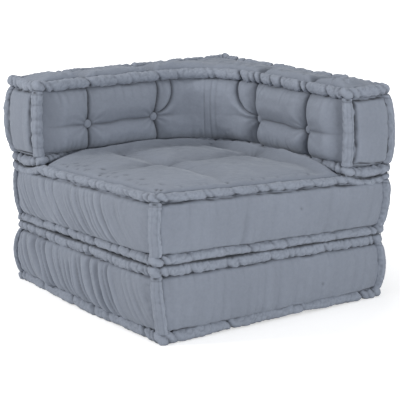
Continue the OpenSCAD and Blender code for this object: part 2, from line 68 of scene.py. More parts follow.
def noise(p, size, seed=0):
    """Smooth noise from -1 to 1: fixed random values on a lattice of the given size in mm,
    blended between lattice points with the quintic 6t^5 - 15t^4 + 10t^3 on each axis. Each
    seed starts at another place of the lattice."""
    q = np.asarray(p, float) / size + 7.31 * (seed + 1)
    i = np.floor(q).astype(int)
    f = q - i
    f = f ** 3 * (f * (f * 6 - 15) + 10)
    out = 0.0
    for corner in range(8):
        k = array([corner & 1, corner >> 1 & 1, corner >> 2 & 1])
        weight = where(k == 1, f, 1 - f).prod(-1)
        j = (i + k) % CELLS
        out = out + weight * LATTICE[j[..., 0], j[..., 1], j[..., 2]]
    return out


def crumple(p, size, seed=0):
    """Soft lumps with sharp folds between them, from 0 to about 1: 1.6|noise|."""
    return 1.6 * abs(noise(p, size, seed))


def flat(*coords):
    """Points from two or three coordinates, with zeros for a third."""
    a = np.broadcast_arrays(*[np.asarray(c, float) for c in coords])
    return stack(list(a) + [np.zeros_like(a[0])] * (3 - len(a)), -1)


def pair(a, b):
    """Cloth coordinates from two arrays that fit together."""
    return stack(np.broadcast_arrays(a, b), -1)


def unit(t):
    """t, held between 0 and 1."""
    return clip(t, 0, 1)


def step(t):
    """Smooth step from 0 to 1 for t from 0 to 1: 3t^2 - 2t^3."""
    t = unit(t)
    return t * t * (3 - 2 * t)


def bump(d, width):
    """Bell curve exp(-(d/width)^2)."""
    return exp(-(d / width) ** 2)


def crease(d, width):
    """Sharp valley with straight flanks and a tip rounded within a millimetre:
    exp(-(sqrt(d^2 + 0.6) - 0.77) / width)."""
    return exp(-(sqrt(d * d + 0.6) - 0.77) / width)


def free(t, power):
    """How free cloth is at place t, 1 in a panel's middle and 0 at its seams: 1 - |t|^power."""
    return 1 - abs(t) ** power


def most(first, *others):
    """The greatest of several arrays at each point."""
    for other in others:
        first = maximum(first, other)
    return first


def folds(s, pitch, seed):
    """Row of gathers along s, from -1 in their sharp valleys to 1 on their round ridges:
    2|sin|^0.9 - 1 of a phase that wanders by noise, each gather with its own strength."""
    phase = pi * s / pitch + 2.7 * noise(flat(s, 31.0), pitch * 2.1, seed)
    strength = 0.62 + 0.75 * noise(flat(s, 57.0), pitch * 1.5, seed + 5)
    return (2 * abs(sin(phase)) ** 0.9 - 1) * strength


def grid_normals(p):
    """Unit normals of a grid of points: the cross product of its row and column steps."""
    n = cross(np.gradient(p, axis=0), np.gradient(p, axis=1))
    return n / maximum(norm(n, axis=-1, keepdims=True), 1e-9)


def normals(p, outward):
    """Unit normals of a grid, each on the side of the given direction."""
    n = grid_normals(p)
    return n * sign((n * np.asarray(outward, float)).sum(-1, keepdims=True) + 1e-9)


def eased(n, power):
    """n + 1 places from -1 to 1, closer together near both ends: sign(t)(1 - (1 - |t|)^power)."""
    t = linspace(-1, 1, n + 1)
    return sign(t) * (1 - (1 - abs(t)) ** power)


# Heights at which the soft corners' shifts are given: the floor, the base's and seat's tops
# and the bolster's
LEVELS = array([0.0, BASE_H, BACK_Z, BACK_Z + BACK_H])
# Sideways and upward shift of the front left, front right, rear left and rear right corner at
# each level
SHIFT = array([
    [(8, 0), (-4, 0), (5, 0), (0, 0)],
    [(-8, 21), (-3, 2), (6, -3), (0, 0)],
    [(-8, 19), (14, -8), (-5, -9), (0, 0)],
    [(0, 0), (5, 4), (-9, 3), (0, 15)],
], float)
SIDEWAYS = array([0.82, -0.573])  # direction of the sideways shifts, to the picture's right


def warp(p):
    """Sag and lean of the soft corners: at each level the shifts of the four corners are
    blended by products of x and y, and between levels linearly with height."""
    u = unit((p[..., 0] / HALF + 1) / 2)
    v = unit((p[..., 1] / HALF + 1) / 2)
    w = stack([(1 - u) * (1 - v), u * (1 - v), (1 - u) * v, u * v], -1)
    z = clip(p[..., 2], 0, LEVELS[-1])
    k = clip(np.searchsorted(LEVELS, z, side="right") - 1, 0, 2)
    f = ((z - LEVELS[k]) / (LEVELS[k + 1] - LEVELS[k]))[..., None, None]
    move = (w[..., None] * (SHIFT[k] * (1 - f) + SHIFT[k + 1] * f)).sum(-2)
    out = p.copy()
    out[..., :2] += move[..., :1] * SIDEWAYS
    out[..., 2] += move[..., 1]
    return out


def turned_out(p, quads, outward):
    """The quads of a grid, wound so that they face outwards: towards the given direction, or
    for a closed tube so that its signed volume is positive."""
    if outward is None:
        v = p.reshape(-1, 3)[quads] - p.reshape(-1, 3).mean(0)
        side = (v[:, 0] * (cross(v[:, 1], v[:, 2]) + cross(v[:, 2], v[:, 3]))).sum()
    else:
        n = cross(p[2:, 1:-1] - p[:-2, 1:-1], p[1:-1, 2:] - p[1:-1, :-2])
        side = (n * np.asarray(outward, float)).sum()
    return quads if side > 0 else quads[:, ::-1]


def hollow(p, quads, steps=(1, 3)):
    """How hollow a grid is at each point, from -0.3 on ridges to 0.8 in folds: the mean of its
    neighbours one and three steps away, less the point, along the surface's normal and over
    their distance. A grid that closes on itself goes on round, any other fades at its rims."""
    i, j, k, _ = quads[len(quads) // 2]
    q = p.reshape(-1, 3)
    n = grid_normals(p)
    n *= sign(cross(q[j] - q[i], q[k] - q[j]) @ n.reshape(-1, 3)[i])
    closed = [np.allclose(p.take(0, axis), p.take(-1, axis)) for axis in (0, 1)]
    out = 0.0
    for size in steps:
        around, spread = 0.0, 0.0
        for axis, last in enumerate(array(p.shape[:2]) - 1):
            for shift in (-size, size):
                at = np.arange(last + 1) + shift
                side = p.take(at % last if closed[axis] else clip(at, 0, last), axis)
                around = around + side / 4
                spread = spread + norm(side - p, axis=-1) / 4
        rise = ((around - p) * n).sum(-1) / maximum(spread, 0.3)
        for axis in (0, 1):
            if not closed[axis]:
                count = np.arange(p.shape[axis])
                inside = unit(minimum(count, count[::-1]) / (2 * size) - 0.5)
                rise = rise * (inside[:, None] if axis == 0 else inside[None])
        out = out + rise
    return clip(out, -0.3, 0.8)


WELD = 0.02  # points of a mesh that are nearer than this become one
# How strongly hollows get painted shade, and ridges painted highlight, in the cloth of each slot
HOLLOW_PAINTED_SHADE = {"cover": 0.5, "roll": 0.7, "button": 0.5}


def placed(name, data):
    """New object of the given data, linked to the scene."""
    obj = bpy.data.objects.new(name, data)
    bpy.context.scene.collection.objects.link(obj)
    return obj


def mesh_from(name, patches, slot, nodes, material):
    """One object from grids of points. Points that meet are merged, faces are the quads
    between neighbours, and cloth coordinates and the amount of painted shade, in the depth
    attribute, go with them. Hollows add painted shade and ridges painted highlight."""
    points, faces, uvs, dark, start = [], [], [], [], 0
    for p, uv, depth, outward in patches:
        r, c = p.shape[:2]
        i = np.arange(r * c).reshape(r, c)
        quads = stack([i[:-1, :-1], i[1:, :-1], i[1:, 1:], i[:-1, 1:]], -1).reshape(-1, 4)
        quads = turned_out(p, quads, outward)
        faces.append(quads + start)
        points.append(p.reshape(-1, 3))
        uvs.append(uv.reshape(-1, 2))
        if slot in HOLLOW_PAINTED_SHADE:
            depth = clip(depth + HOLLOW_PAINTED_SHADE[slot] * hollow(p, quads), -0.25, 1)
        dark.append(np.broadcast_to(depth, (r, c)).reshape(-1))
        start += r * c
    points, faces, uvs, dark = (concatenate(a) for a in (points, faces, uvs, dark))
    cells = np.round(points / WELD).astype(np.int64)
    _, first, back = np.unique(cells, axis=0, return_index=True, return_inverse=True)
    welded = back.reshape(-1)[faces]
    rings, corners = welded.tolist(), faces.tolist()
    # Quads with two corners at one point become triangles, and thinner ones are left out
    for k in np.flatnonzero((welded == np.roll(welded, 1, 1)).any(1)):
        stay = [j for j in range(4) if rings[k][j] != rings[k][j - 1]]
        rings[k], corners[k] = [rings[k][j] for j in stay], [corners[k][j] for j in stay]
    whole = [k for k, ring in enumerate(rings) if len(ring) > 2]
    mesh = bpy.data.meshes.new(name)
    mesh.from_pydata((warp(points[first]) * MM).tolist(), [], [rings[k] for k in whole])
    loops = concatenate([corners[k] for k in whole]).astype(int)
    layer = mesh.uv_layers.new(name="cloth")
    layer.data.foreach_set("uv", (uvs[loops] * MM).astype(np.float32).reshape(-1))
    att = mesh.attributes.new("depth", "FLOAT", "POINT")
    att.data.foreach_set("value", dark[first].astype(np.float32))
    mesh.polygons.foreach_set("use_smooth", np.ones(len(mesh.polygons), bool))
    mesh.update()
    mesh.materials.append(material)
    obj = placed(name, mesh)
    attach(obj, "root")
    if nodes:
        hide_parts(*nodes)
    return obj


# Materials


def node_maker(tree):
    """Empties a node tree and gives a function that adds a node to it: settings by name, and
    a value or another node's output for each input. That function gives the node's outputs."""
    tree.nodes.clear()

    def add(kind, inputs=(), **settings):
        node = tree.nodes.new("ShaderNode" + kind)
        for key, value in settings.items():
            setattr(node, key, value)
        for key, value in dict(inputs).items():
            if isinstance(value, bpy.types.NodeSocket):
                tree.links.new(value, node.inputs[key])
            else:
                node.inputs[key].default_value = value
        return node.outputs

    return add


def new_material(name):
    """A material without nodes, and the function that adds them."""
    mat = bpy.data.materials.new(name)
    mat.use_nodes = True
    return mat, node_maker(mat.node_tree)


WEAVE_PITCH = 0.0009  # metres from thread to thread


def fabric(name, color, rumple=0.35):
    """Matt cotton: two sizes of colour noise, painted shade in creases and hollows and painted
    highlight on ridges from the depth attribute, a plain weave of crossed sine threads and fine
    slubs as bump, and a soft sheen."""
    mat, add = new_material(name)
    coord = add("TexCoord")["Object"]

    def math(operation, *values):
        return add("Math", enumerate(values), operation=operation)[0]

    def mottle(scale, detail, low, high):
        fine = {"Vector": coord, "Scale": scale, "Detail": detail}
        span = {"From Min": 0.3, "From Max": 0.7, "To Min": low, "To Max": high}
        return add("MapRange", {"Value": add("TexNoise", fine)["Fac"], **span})["Result"]

    depth = add("Attribute", attribute_name="depth")["Fac"]
    # Painted shade from the depth attribute: darker in creases and hollows, lighter on ridges as
    # painted highlight
    shade = math("SUBTRACT", 1.0, math("MULTIPLY", depth, 0.78))
    tone = math("MULTIPLY", mottle(6, 3, 0.955, 1.045), mottle(150, 2, 0.97, 1.03))
    # The colours of a Mix node are its inputs 6 and 7 and its output 2
    both = {0: 1.0, 6: (*color, 1), 7: math("MULTIPLY", tone, shade)}
    tint = add("Mix", both, data_type="RGBA", blend_type="MULTIPLY")[2]
    cloth = add("SeparateXYZ", {"Vector": add("UVMap", uv_map="cloth")["UV"]})
    threads = [math("SINE", math("MULTIPLY", cloth[k], 2 * pi / WEAVE_PITCH)) for k in "XY"]
    weave = math("MULTIPLY", math("MULTIPLY", *threads), 0.5)
    normal = {}
    for height, strength, distance in (
        (mottle(32, 4, 0, 1), rumple, 0.004),
        (math("ADD", weave, mottle(900, 2, 0, 0.6)), 0.22, 0.0004),
    ):
        relief = {"Height": height, "Strength": strength, "Distance": distance, **normal}
        normal = {"Normal": add("Bump", relief)["Normal"]}
    skin = add("BsdfPrincipled", {
        "Base Color": tint, "Roughness": 0.92, "Specular IOR Level": 0.15, "Sheen Weight": 0.25,
        "Sheen Roughness": 0.5, "Sheen Tint": (0.8, 0.85, 0.92, 1), **normal})
    add("OutputMaterial", {"Surface": skin["BSDF"]})
    return mat


COTTON = (0.232, 0.257, 0.307)
cover_cloth = fabric("cotton_cover", COTTON)
roll_cloth = fabric("cotton_roll", tuple(1.03 * c for c in COTTON), rumple=0.5)
button_cloth = fabric("cotton_button", tuple(1.06 * c for c in COTTON), rumple=0.2)
twine = fabric("cotton_twine", tuple(0.9 * c for c in COTTON), rumple=0.1)


# Rolled edges

ARC_STEP, PATH_STEP = 6, 2.6  # steps along a path's arcs, and along the path
DEEP_STITCH = 0.5  # a stitch that is stronger shows its thread
THREAD_R = 0.75  # half the thickness of that thread


def plan_path(corners, radii):
    """Closed plan path through corners that are rounded with arcs, each swept about its
    centre. Returns points, outward normals, lengths and the length at the middle of each arc."""
    arcs, middles, count = [], [], 0
    n = len(corners)
    for i in range(n):
        a, c, b = (array(corners[j % n], float) for j in (i - 1, i, i + 1))
        d0, d1 = (c - a) / norm(c - a), (b - c) / norm(b - c)
        turn = arctan2(d0[0] * d1[1] - d0[1] * d1[0], d0 @ d1)
        start = c - d0 * radii[i] * np.tan(abs(turn) / 2)
        centre = start + sign(turn) * radii[i] * array([-d0[1], d0[0]])
        ang = linspace(0, turn, 2 * max(2, int(abs(turn) * radii[i] / ARC_STEP)) + 1)
        (x, y), u, v = start - centre, cos(ang), sin(ang)
        arcs.append(centre + pair(x * u - y * v, x * v + y * u))
        middles.append(count + len(ang) // 2)
        count += len(ang)
    ends = concatenate(arcs + [arcs[0][:1]])
    length = np.append(0, np.cumsum(norm(np.diff(ends, axis=0), axis=1)))
    s = linspace(0, length[-1], int(round(length[-1] / PATH_STEP)) + 1)
    path = stack([np.interp(s, length, ends[:, k]) for k in (0, 1)], -1)
    path[-1] = path[0]
    tangent = np.roll(path[:-1], -1, 0) - np.roll(path[:-1], 1, 0)
    tangent = np.vstack([tangent, tangent[:1]])
    tangent /= norm(tangent, axis=1, keepdims=True)
    return path, stack([tangent[:, 1], -tangent[:, 0]], -1), s, length[middles]


def plan_at(path, s):
    """Plan places and outward directions at lengths s of a path."""
    return [stack([np.interp(s, path[2], a[:, k]) for k in (0, 1)], -1) for a in path[:2]]


# Stitches that pucker a corner: distance from its middle and strength
CORNER_STITCHES = ((-31, 0.7), (-13, 1.1), (10, 1.2), (29, 0.7))


def stitches(path, pitches, powers, seed, corners=(0, 1, 2, 3), extra=()):
    """Places and strengths of the stitches: on each side of the path they are a pitch apart,
    each moved by up to 0.38 of it, and each side has its own strength, varied by a half. The
    stitches of the corners and extra ones, given as x, y and strength, take the place of those
    within 20 mm of them."""
    xy, _, s, turns = path
    edges = np.append(turns, s[-1] + turns[0])
    rs = np.random.RandomState(seed)
    place, power = [], []
    for a, b, pitch, strong in zip(edges[:-1], edges[1:], pitches, powers):
        n = max(1, int(round((b - a) / pitch)))
        place.append(a + (np.arange(n) + 0.5 + rs.uniform(-0.38, 0.38, n)) * (b - a) / n)
        power.append(strong * rs.uniform(0.5, 1.5, n))
    place, power = concatenate(place) % s[-1], concatenate(power)
    more = [(s[hypot(*(xy - (x, y)).T).argmin()], strong) for x, y, strong in extra]
    for k in corners:
        for at, strong in CORNER_STITCHES:
            more.append(((turns[k] + at + rs.uniform(-3, 3)) % s[-1], strong))
    at, strong = array(more).T
    distance = abs(place[:, None] - at)
    stay = minimum(distance, s[-1] - distance).min(1) > 20
    place, power = np.append(place[stay], at), np.append(power[stay], strong)
    order = np.argsort(place)
    return place[order], power[order]


def slant(aa, seed):
    """How far a stitch's crease runs along the roll as it goes round: 7 sin(a + 0.6 + seed)."""
    return 7.0 * sin(aa + 0.6 + seed)


def roll_shape(path, s, aa, z, up, marks, seed, corners, ear, droop, pressed, slim):
    """Points of a rolled edge at length s and angle a: an ellipse round the path, drawn in by
    slanting creases at the stitches and most at its seam, its radius varied by noise of four
    sizes and by wrinkles that wind round it. The middle line dips in at stitches, wanders,
    rises at the corners and droops in places. Where it lies on its neighbour it is flattened.
    Gives painted shade too: in the stitch creases, where it lies on its neighbour and along its
    seam side."""
    place, power = marks
    total = path[2][-1]
    s = s % total
    centre, away = plan_at(path, s)
    away /= norm(away, axis=-1, keepdims=True)
    x, y = centre[..., 0], centre[..., 1]
    ca, sa = cos(aa), sin(aa)
    # Distance to the nearest stitch, its strength, and its grip round the roll
    d = (s + slant(aa, seed))[..., None] - place
    d -= total * np.round(d / total)
    k = abs(d).argmin(-1)
    d = np.take_along_axis(d, k[..., None], -1)[..., 0]
    pull = power[k]
    tight = clip(pull - 0.9, 0, 0.8)
    sewn = cos(aa - arctan2(-0.82 * up, -0.7))
    grip = 0.1 + 0.9 * ((1 + sewn) / 2) ** 1.5
    mid = flat(x, y, z)
    ring = flat(away[..., 0] * ca, away[..., 1] * ca, sa) * ROLL
    skin, inner = mid + ring, mid + 0.8 * ring
    r = 0.92 + 0.09 * noise(skin, 40, seed) + 0.14 * crumple(inner, 17, seed + 1)
    r = r + 0.09 * crumple(inner, 9, seed + 2) + 0.07 * crumple(skin, 5.5, seed + 8) - 0.02
    wound = folds(s + 7 * sin(aa + seed), 11, seed + 6)
    r = r + 0.03 * wound * (0.6 + 0.6 * noise(mid, 55, seed + 7))
    narrow, broad = 0.03 + 0.3 * tight + 0.52 * grip, 0.03 + 0.08 * grip
    r = r - pull * (narrow * crease(d, 2.8) + broad * bump(d, 10))
    corner, diagonal = array(corners, float).reshape(-1, 2, 2).transpose(1, 0, 2)
    lift = bump(norm(centre[..., None, :] - corner, axis=-1), 20)
    raised = lift.sum(-1)
    r = r * (1 + 0.06 * raised) + 0.16 * raised * crumple(skin, 11, seed + 9)
    r = r * (1 - slim(x, y))
    reach = ROLL * r * ca - 2.4 * pull * bump(d, 9) + 1.8 * noise(mid, 75, seed + 3)
    reach = reach + foot_bulge(x, y, z)
    plan = centre + away * reach[..., None] + 1.6 * (lift[..., None] * diagonal).sum(-2)
    rise = ROLL_HIGH * r * sa + 1.6 * noise(mid, 60, seed + 4) + ear * raised
    near = pressed(x, y)
    rise = where(near > 0, up * minimum(up * rise, ROLL_REST - 0.15), rise)
    rise = rise - up * apart(x, y) * near
    # Painted shade in the stitch creases, on the side where the roll lies on its neighbour, and
    # along its seam side away from the stitches
    dark = pull * (0.04 + 0.4 * tight + 0.75 * grip) * crease(d, 1.8)
    dark = dark + 0.8 * near * step((up * sa - 0.6) / 0.3)
    seam = (0.3 + 0.6 * step((abs(d) - 8) / 6)) * step((sewn - 0.7) / 0.25)
    p = flat(plan[..., 0], plan[..., 1], z + rise - droop(x, y))
    return p, unit(dark + seam)


def arm_ends(depth):
    """Droop of up to depth under the two free ends of the bolster: 1 - t^2 over each end."""
    def droop(x, y):
        middle, half = (LINE + INNER_LINE) / 2, (LINE - INNER_LINE) / 2
        left = where(x < -LINE + 2, (y - middle) / half, 2)
        t = where(y < -LINE + 2, (x - middle) / half, left)
        return depth * unit(1 - t * t)
    return droop


def beside(c):
    """1 on the roll along a near side and 0 elsewhere, c being the coordinate across it."""
    return step((12 - LINE - c) / 10)


def unchanged(x, _):
    """A roll that droops nowhere, or is slimmer nowhere, or lies on nothing."""
    return 0.0 * x


def all_round(x, _):
    """A roll that lies on its neighbour all round."""
    return 1.0 + 0.0 * x


def under_bolster(x, y):
    """A roll that only the bolster lies on."""
    return ((x > INNER) | (y > INNER)) * 1.0


def near_sides(x, y):
    """How much slimmer the seat's upper roll is, on the left towards its front end and all
    along the front."""
    return 0.2 * beside(x) * step((150 - y) / 60) + 0.24 * beside(y)


def foot_bulge(x, y, z):
    """How far the base's lower roll bulges out under the left side: 9 exp(-(y/170)^2)."""
    return (9.0 if z < 2 * ROLL else 0.0) * bump(y, 170) * beside(x)


def lifted_front(x, y):
    """Lift of up to 4.5 mm under the middle of the front side, given as a negative droop."""
    return -4.5 * bump(x - 80, 130) * beside(y)


# Where the rolls of the near sides keep clear of each other: x, y, how far and over what width
CLEAR_SPOTS = (
    (-LINE, 70, 3.0, 75), (-LINE, -190, 2.0, 90), (-150, -LINE, 2.2, 80), (90, -LINE, 1.2, 60))


def apart(x, y):
    """How far a roll keeps clear of its neighbour: the sum of a bell curve at each spot."""
    return sum(far * bump(hypot(x - cx, y - cy), wide) for cx, cy, far, wide in CLEAR_SPOTS)


def thread(line, radius, closed=False, sides=6):
    """Round thread along a line of points: a circle in the plane across the line's direction."""
    tangent = np.gradient(line, axis=0)
    if closed:
        tangent[0] = tangent[-1] = line[1] - line[-2]
    tangent /= maximum(norm(tangent, axis=1, keepdims=True), 1e-9)
    side = cross(tangent, [0.31, 0.17, 0.93])
    side /= norm(side, axis=1, keepdims=True)
    other = cross(tangent, side)
    ang = linspace(0, 2 * pi, sides + 1)
    size = np.full(len(line), radius)
    if not closed:
        size[0] = size[-1] = 0
    round_it = side[:, None] * cos(ang)[:, None] + other[:, None] * sin(ang)[:, None]
    p = line[:, None] + size[:, None, None] * round_it
    p[:, -1] = p[:, 0]
    if closed:
        p[-1] = p[0]
    return p, pair(np.arange(len(line))[:, None] * 2.0, ang * radius), 0.0, None


def rolled_edge(path, z, up, marks, seed, corners, ear=0.0, droop=unchanged,
                pressed=all_round, slim=unchanged):
    """A rolled edge, and the thread that is drawn tight round it at each deep stitch."""
    rest = (z, up, marks, seed, corners, ear, droop, pressed, slim)
    ss, aa = meshgrid(path[2], linspace(0, 2 * pi, 33), indexing="ij")
    p, dark = roll_shape(path, ss, aa, *rest)
    for a in (p, dark):
        a[-1] = a[0]
        a[:, -1] = a[:, 0]
    loops = []
    phi = linspace(0, 2 * pi, 17)
    for place in marks[0][marks[1] > DEEP_STITCH]:
        line = roll_shape(path, place - slant(phi, seed), phi, *rest)[0]
        line[:, 2] = clip(line[:, 2], z - ROLL_REST + 0.9, z + 30)
        line[-1] = line[0]
        loops.append(thread(line, THREAD_R, closed=True))
    return (p, pair(ss, aa * ROLL), dark, None), loops


def upright(place, way, z0, z1, seed, bow, thick=9.0, scallop=0.04, wide=14.0):
    """Roll at a corner seam: an ellipse that is wide across the corner and thin along it. Its
    middle bows out as (4f(1-f))^0.8 from foot to head, its ends close as a quarter ellipse, and
    it has fine lines from foot to head, lumps of |sin| with height and a tuck below its head."""
    f = (1 - cos(linspace(0, pi, 80))) / 2
    ff, aa = meshgrid(f, linspace(0, 2 * pi, 41), indexing="ij")
    z = z0 + (z1 - z0) * ff
    o = array(way, float) / hypot(*way)
    side = array([-o[1], o[0]])
    cap = unit(minimum(ff, 1 - ff) * (z1 - z0) / 6.0)
    shape = sqrt(1 - (1 - cap) ** 2.5)
    middle = 4 * ff * (1 - ff)
    lump = scallop * (abs(sin(pi * z / 36.0 + seed)) ** 0.7 - 0.65)
    ca, sa = cos(aa), sin(aa)
    front = unit(ca) ** 0.5
    seams = crease(wide * sa - 0.55 * wide, 0.9) + 0.5 * crease(wide * sa + 0.3 * wide, 0.9)
    seams = front * seams
    lip = front * exp(-((z - z1 + 5) / 2.6) ** 2 - (sa / 0.55) ** 2)
    tuck = z1 - z - 10
    lines = -0.06 * seams - 0.2 * lip - 0.12 * crease(tuck, 1.8)
    skin = flat(place[0] + wide * ca, place[1] + wide * sa, z)
    rough = 0.07 * noise(skin, 30, seed) + 0.07 * crumple(skin, 14, seed + 1)
    r = (0.97 + lump + lines + rough) * shape
    out = bow * middle ** 0.8 + thick * r * sign(ca) * abs(ca) ** 0.75
    drift = 2.6 * noise(flat(z, 5.0 * seed), 45, seed + 2) * middle
    across = wide * r * sa + drift + 1.1 * noise(skin, 7, seed + 3) * shape
    p = flat(*(place[k] + o[k] * out + side[k] * across for k in (0, 1)), z)
    p[0], p[-1] = p[0].mean(0), p[-1].mean(0)
    # Painted shade in the seam lines, at the closed ends, under the lip below the head and in the
    # tuck
    dark = unit(0.22 * seams + 0.4 * (1 - shape) + 0.9 * lip + 0.25 * crease(tuck, 1.2))
    for a in (p, dark):
        a[:, -1] = a[:, 0]
    return p, pair(aa * wide, z), dark, None


SQUARE = [(-LINE, -LINE), (LINE, -LINE), (LINE, LINE), (-LINE, LINE)]
BOLSTER = [(-LINE, INNER_LINE), (INNER_LINE, INNER_LINE), (INNER_LINE, -LINE), *SQUARE[1:]]
# Corners with the signs of their outward diagonals
SQUARE_EARS = [(c, tuple(sign(c))) for c in SQUARE]
BOLSTER_EARS = [(BOLSTER[0], (-1, -1)), (BOLSTER[2], (-1, -1)), *SQUARE_EARS[1:]]
CORNER_R = 11  # radius of a roll's middle line at a square corner
square_path = plan_path(SQUARE, [CORNER_R] * 4)
bolster_path = plan_path(BOLSTER, [CORNER_R, FILLET + ROLL] + [CORNER_R] * 4)


def spots_at(path, marks, inside, z):
    """Points inside the roll's middle line at the stitches, all at height z."""
    xy, out = plan_at(path, marks[0])
    return np.column_stack([xy - out * inside, np.full(len(xy), z)])


def press(patch, spots, depth, radius, shade=0.9):
    """Pits of stitches: each point moves in by the bell curve of its distance to the nearest
    stitch, and the pit gets painted shade of the given strength. Points on the patch's rim stay."""
    p, uv, dark, outward = patch
    best = np.full(p.shape[:2], 1e9)
    for c in spots:
        best = minimum(best, ((p - c) ** 2).sum(-1))
    hit = exp(-best / radius ** 2)
    hit[0], hit[-1], hit[:, 0], hit[:, -1] = 0, 0, 0, 0
    p = p - normals(p, outward) * (depth * hit)[..., None]
    return p, uv, clip(dark + shade * hit ** 2, -0.2, 1), outward


# Mattresses


def open_seat(x, y):
    """Distance in front of the bolster's inner face."""
    a, b = x - MID, y - MID
    return FILLET - where((a > 0) & (b > 0), hypot(a, b), maximum(a, b))


def seat_relief(x, y):
    """Height of the seat over its rolls: a crown that fades to the edges and rises quickly in
    front of the bolster, less valleys and creases along the tuft lines and a pit with
    radiating puckers at each tuft. Gives painted shade too, in the pits, creases and slits and
    over a broad patch of the seat."""
    u, v = x / SEAM, y / SEAM
    ahead = open_seat(x, y)
    crown = free(u, where(u < 0, 7, 4)) * free(v, where(v < 0, 7, 4))
    crown = crown * (1 - exp(-clip(ahead - 2, 0, None) / 7))
    p = flat(x, y)
    bend = 9 * noise(p, 120, 12)
    left, right = x + TUFT_X + bend, x - TUFT_X + bend
    front, rear = (y - t + bend for t in TUFT_Y)
    valley = most(bump(right, 36), bump(left, 36), bump(front, 36), 0.4 * bump(rear, 36))
    cut = most(
        crease(right, 10), crease(left, 10), 0.8 * crease(front, 10), 0.24 * crease(rear, 10))
    pit, pucker = 0.0, 0.0
    for tx in (-TUFT_X, TUFT_X):
        for ty in TUFT_Y:
            r, a = hypot(x - tx, y - ty), arctan2(y - ty, x - tx)
            hole, drawn = (0.1, 0.4) if ty > FAR_ROW else (0.35, 1)
            pit = maximum(pit, (0.65 * bump(r, 42) + hole * exp(-r / 7)) * drawn)
            pucker = pucker + cos(9 * a + 2 * sin(2 * a + tx)) * exp(-r / 30) * step(r / 14)
    pucker = pucker * where(y > FAR_ROW, 0.35, 1.0)
    soft = 2.8 * noise(p, 95, 3) + 1.2 * noise(p, 40, 4) + 0.5 * noise(p, 18, 5)
    # A long soft fold from the left edge to the middle
    line = 26 * sin((x + 320) / 150) - 0.38 * (x + 320) - 95
    fold = 2.6 * crease(y - line, 15) * step((60 - x) / 220)
    calm = step((ahead - 6) / 45)
    swell = 11 * bump(ahead - 16, 26) - 5 * bump(hypot(x - 150, y - 150), 120)
    high = 29 * crown * (1 - 0.40 * valley * calm) + crown * swell
    high = high + crown * (1.8 * soft - 1.8 * cut * calm - 17 * pit - 2.0 * pucker - 1.5 * fold)
    # Short slits of the stitches behind the left roll, each a crease about 20 mm long
    rows = [(30 + 15 * (k % 2) - LINE, 32 * k - 312) for k in range(15)]
    slit = 0.0
    for sx, sy in np.random.RandomState(21).uniform(-7, 7, (len(rows), 2)) + rows:
        along, off = 0.95 * (y - sy) - 0.3 * (x - sx), 0.95 * (x - sx) + 0.3 * (y - sy)
        slit = maximum(slit, bump(along, 11) * crease(off, 3.2))
    # Painted shade over a broad soft patch of the seat, centred a little right of its middle
    seat_painted_shade = 0.22 * bump(hypot(x - 90, y), 300)
    # Painted shade in the tufts' pits, the creases and the slits, with that broad patch
    dark = 0.55 * pit ** 2 + 0.07 * cut + 1.1 * slit ** 1.5 + seat_painted_shade
    return high - 3.8 * slit * crown, unit(dark) * crown


def edge_bow(w, bow):
    """Reach of a side's upright edge, which lies in the corner's roll: 5.4(1 - w^8) and the
    roll's own bow, (1 - w^2)^0.8."""
    return 5.4 * free(w, 8) + DIAGONAL * bow * unit(1 - w * w) ** 0.8


def side_line(t, w, near, far):
    """Place along a side at t, from -1 to 1, with upright edges that bow out."""
    return t * (SEAM + edge_bow(w, where(t > 0, far, near)) * t ** 4)


def groove(w, t, s, half, seed):
    """Ragged valley where a side meets the rolls: about 6.5 mm from the seams above and below
    it, and 9 mm from its upright edges, for a side half as wide as given. Both its line and
    its depth wander by noise. Returns the depth from 0 to about 1."""
    q = flat(s, w * 110 + 31, 9.0 * seed)
    ragged = 1.5 * noise(q, 13, seed + 11) + 1.5 * noise(q, 34, seed + 12)
    seam = crease((1 - abs(w)) * 68 - 6.5 - ragged, 1.4)
    edge = 1.2 * crease((1 - abs(t)) * half - 9 - 0.7 * ragged, 1.6)
    return maximum(seam, edge) * (0.7 + 0.5 * noise(q, 17, seed + 13))


def swollen(s, w, t, seed, bows, belly, power, depth, pitch, lean, quiet):
    """Reach of a side over its seams at length s, height w and place t, both from -1 to 1: from
    the bows of its ends to the belly's full reach as (1 - |w|^power)^0.55 (1 - |t|^7), with
    gathers of two sizes that lean along the side and deepen to the foot, and noise. Gives
    painted shade too, in the valleys of the gathers and in the groove at the seams."""
    bow, ends = free(w, 2), free(t, 10)
    base = edge_bow(w, bows[0] + (bows[1] - bows[0]) * (t + 1) / 2)
    belly = clip(belly - base, 0, None) * free(w, power) ** 0.55 * free(t, 7)
    y = s + lean * ((1 - w) / 2) ** 1.5
    q = flat(s, w * 70, 40.0 * seed)
    gather = folds(y, pitch, seed) + 0.4 * folds(y, pitch * 0.45, seed + 3)
    strength = (0.28 + 0.72 * ((1 - w) / 2) ** 0.7) * free(w, 10) * ends * quiet
    strength = strength * clip(0.75 + 0.9 * noise(q, 75, seed + 9), 0.15, 1.5)
    soft = (2.4 * noise(q, 85, seed + 20) + 0.7 * noise(q, 30, seed + 21)) * bow * ends
    rough = exp(-(1 - abs(w)) / 0.22) + exp(-(1 - abs(t)) / 0.07)
    rough = unit(rough) * free(w, 20) * free(t, 40)
    soft = soft + 2.2 * crumple(q, 19, seed + 22) * rough
    sewn = groove(w, t, s, abs(s).max(), seed)
    out = base + belly + depth * gather * strength + soft - 6.0 * sewn * free(w, 30) * free(t, 60)
    # Painted shade in the valleys of the gathers and in the groove at the seams
    dark = clip(-gather, 0, 1.2) ** 2 * strength * depth * 0.006 + 1.35 * sewn ** 1.2
    return out, unit(dark)


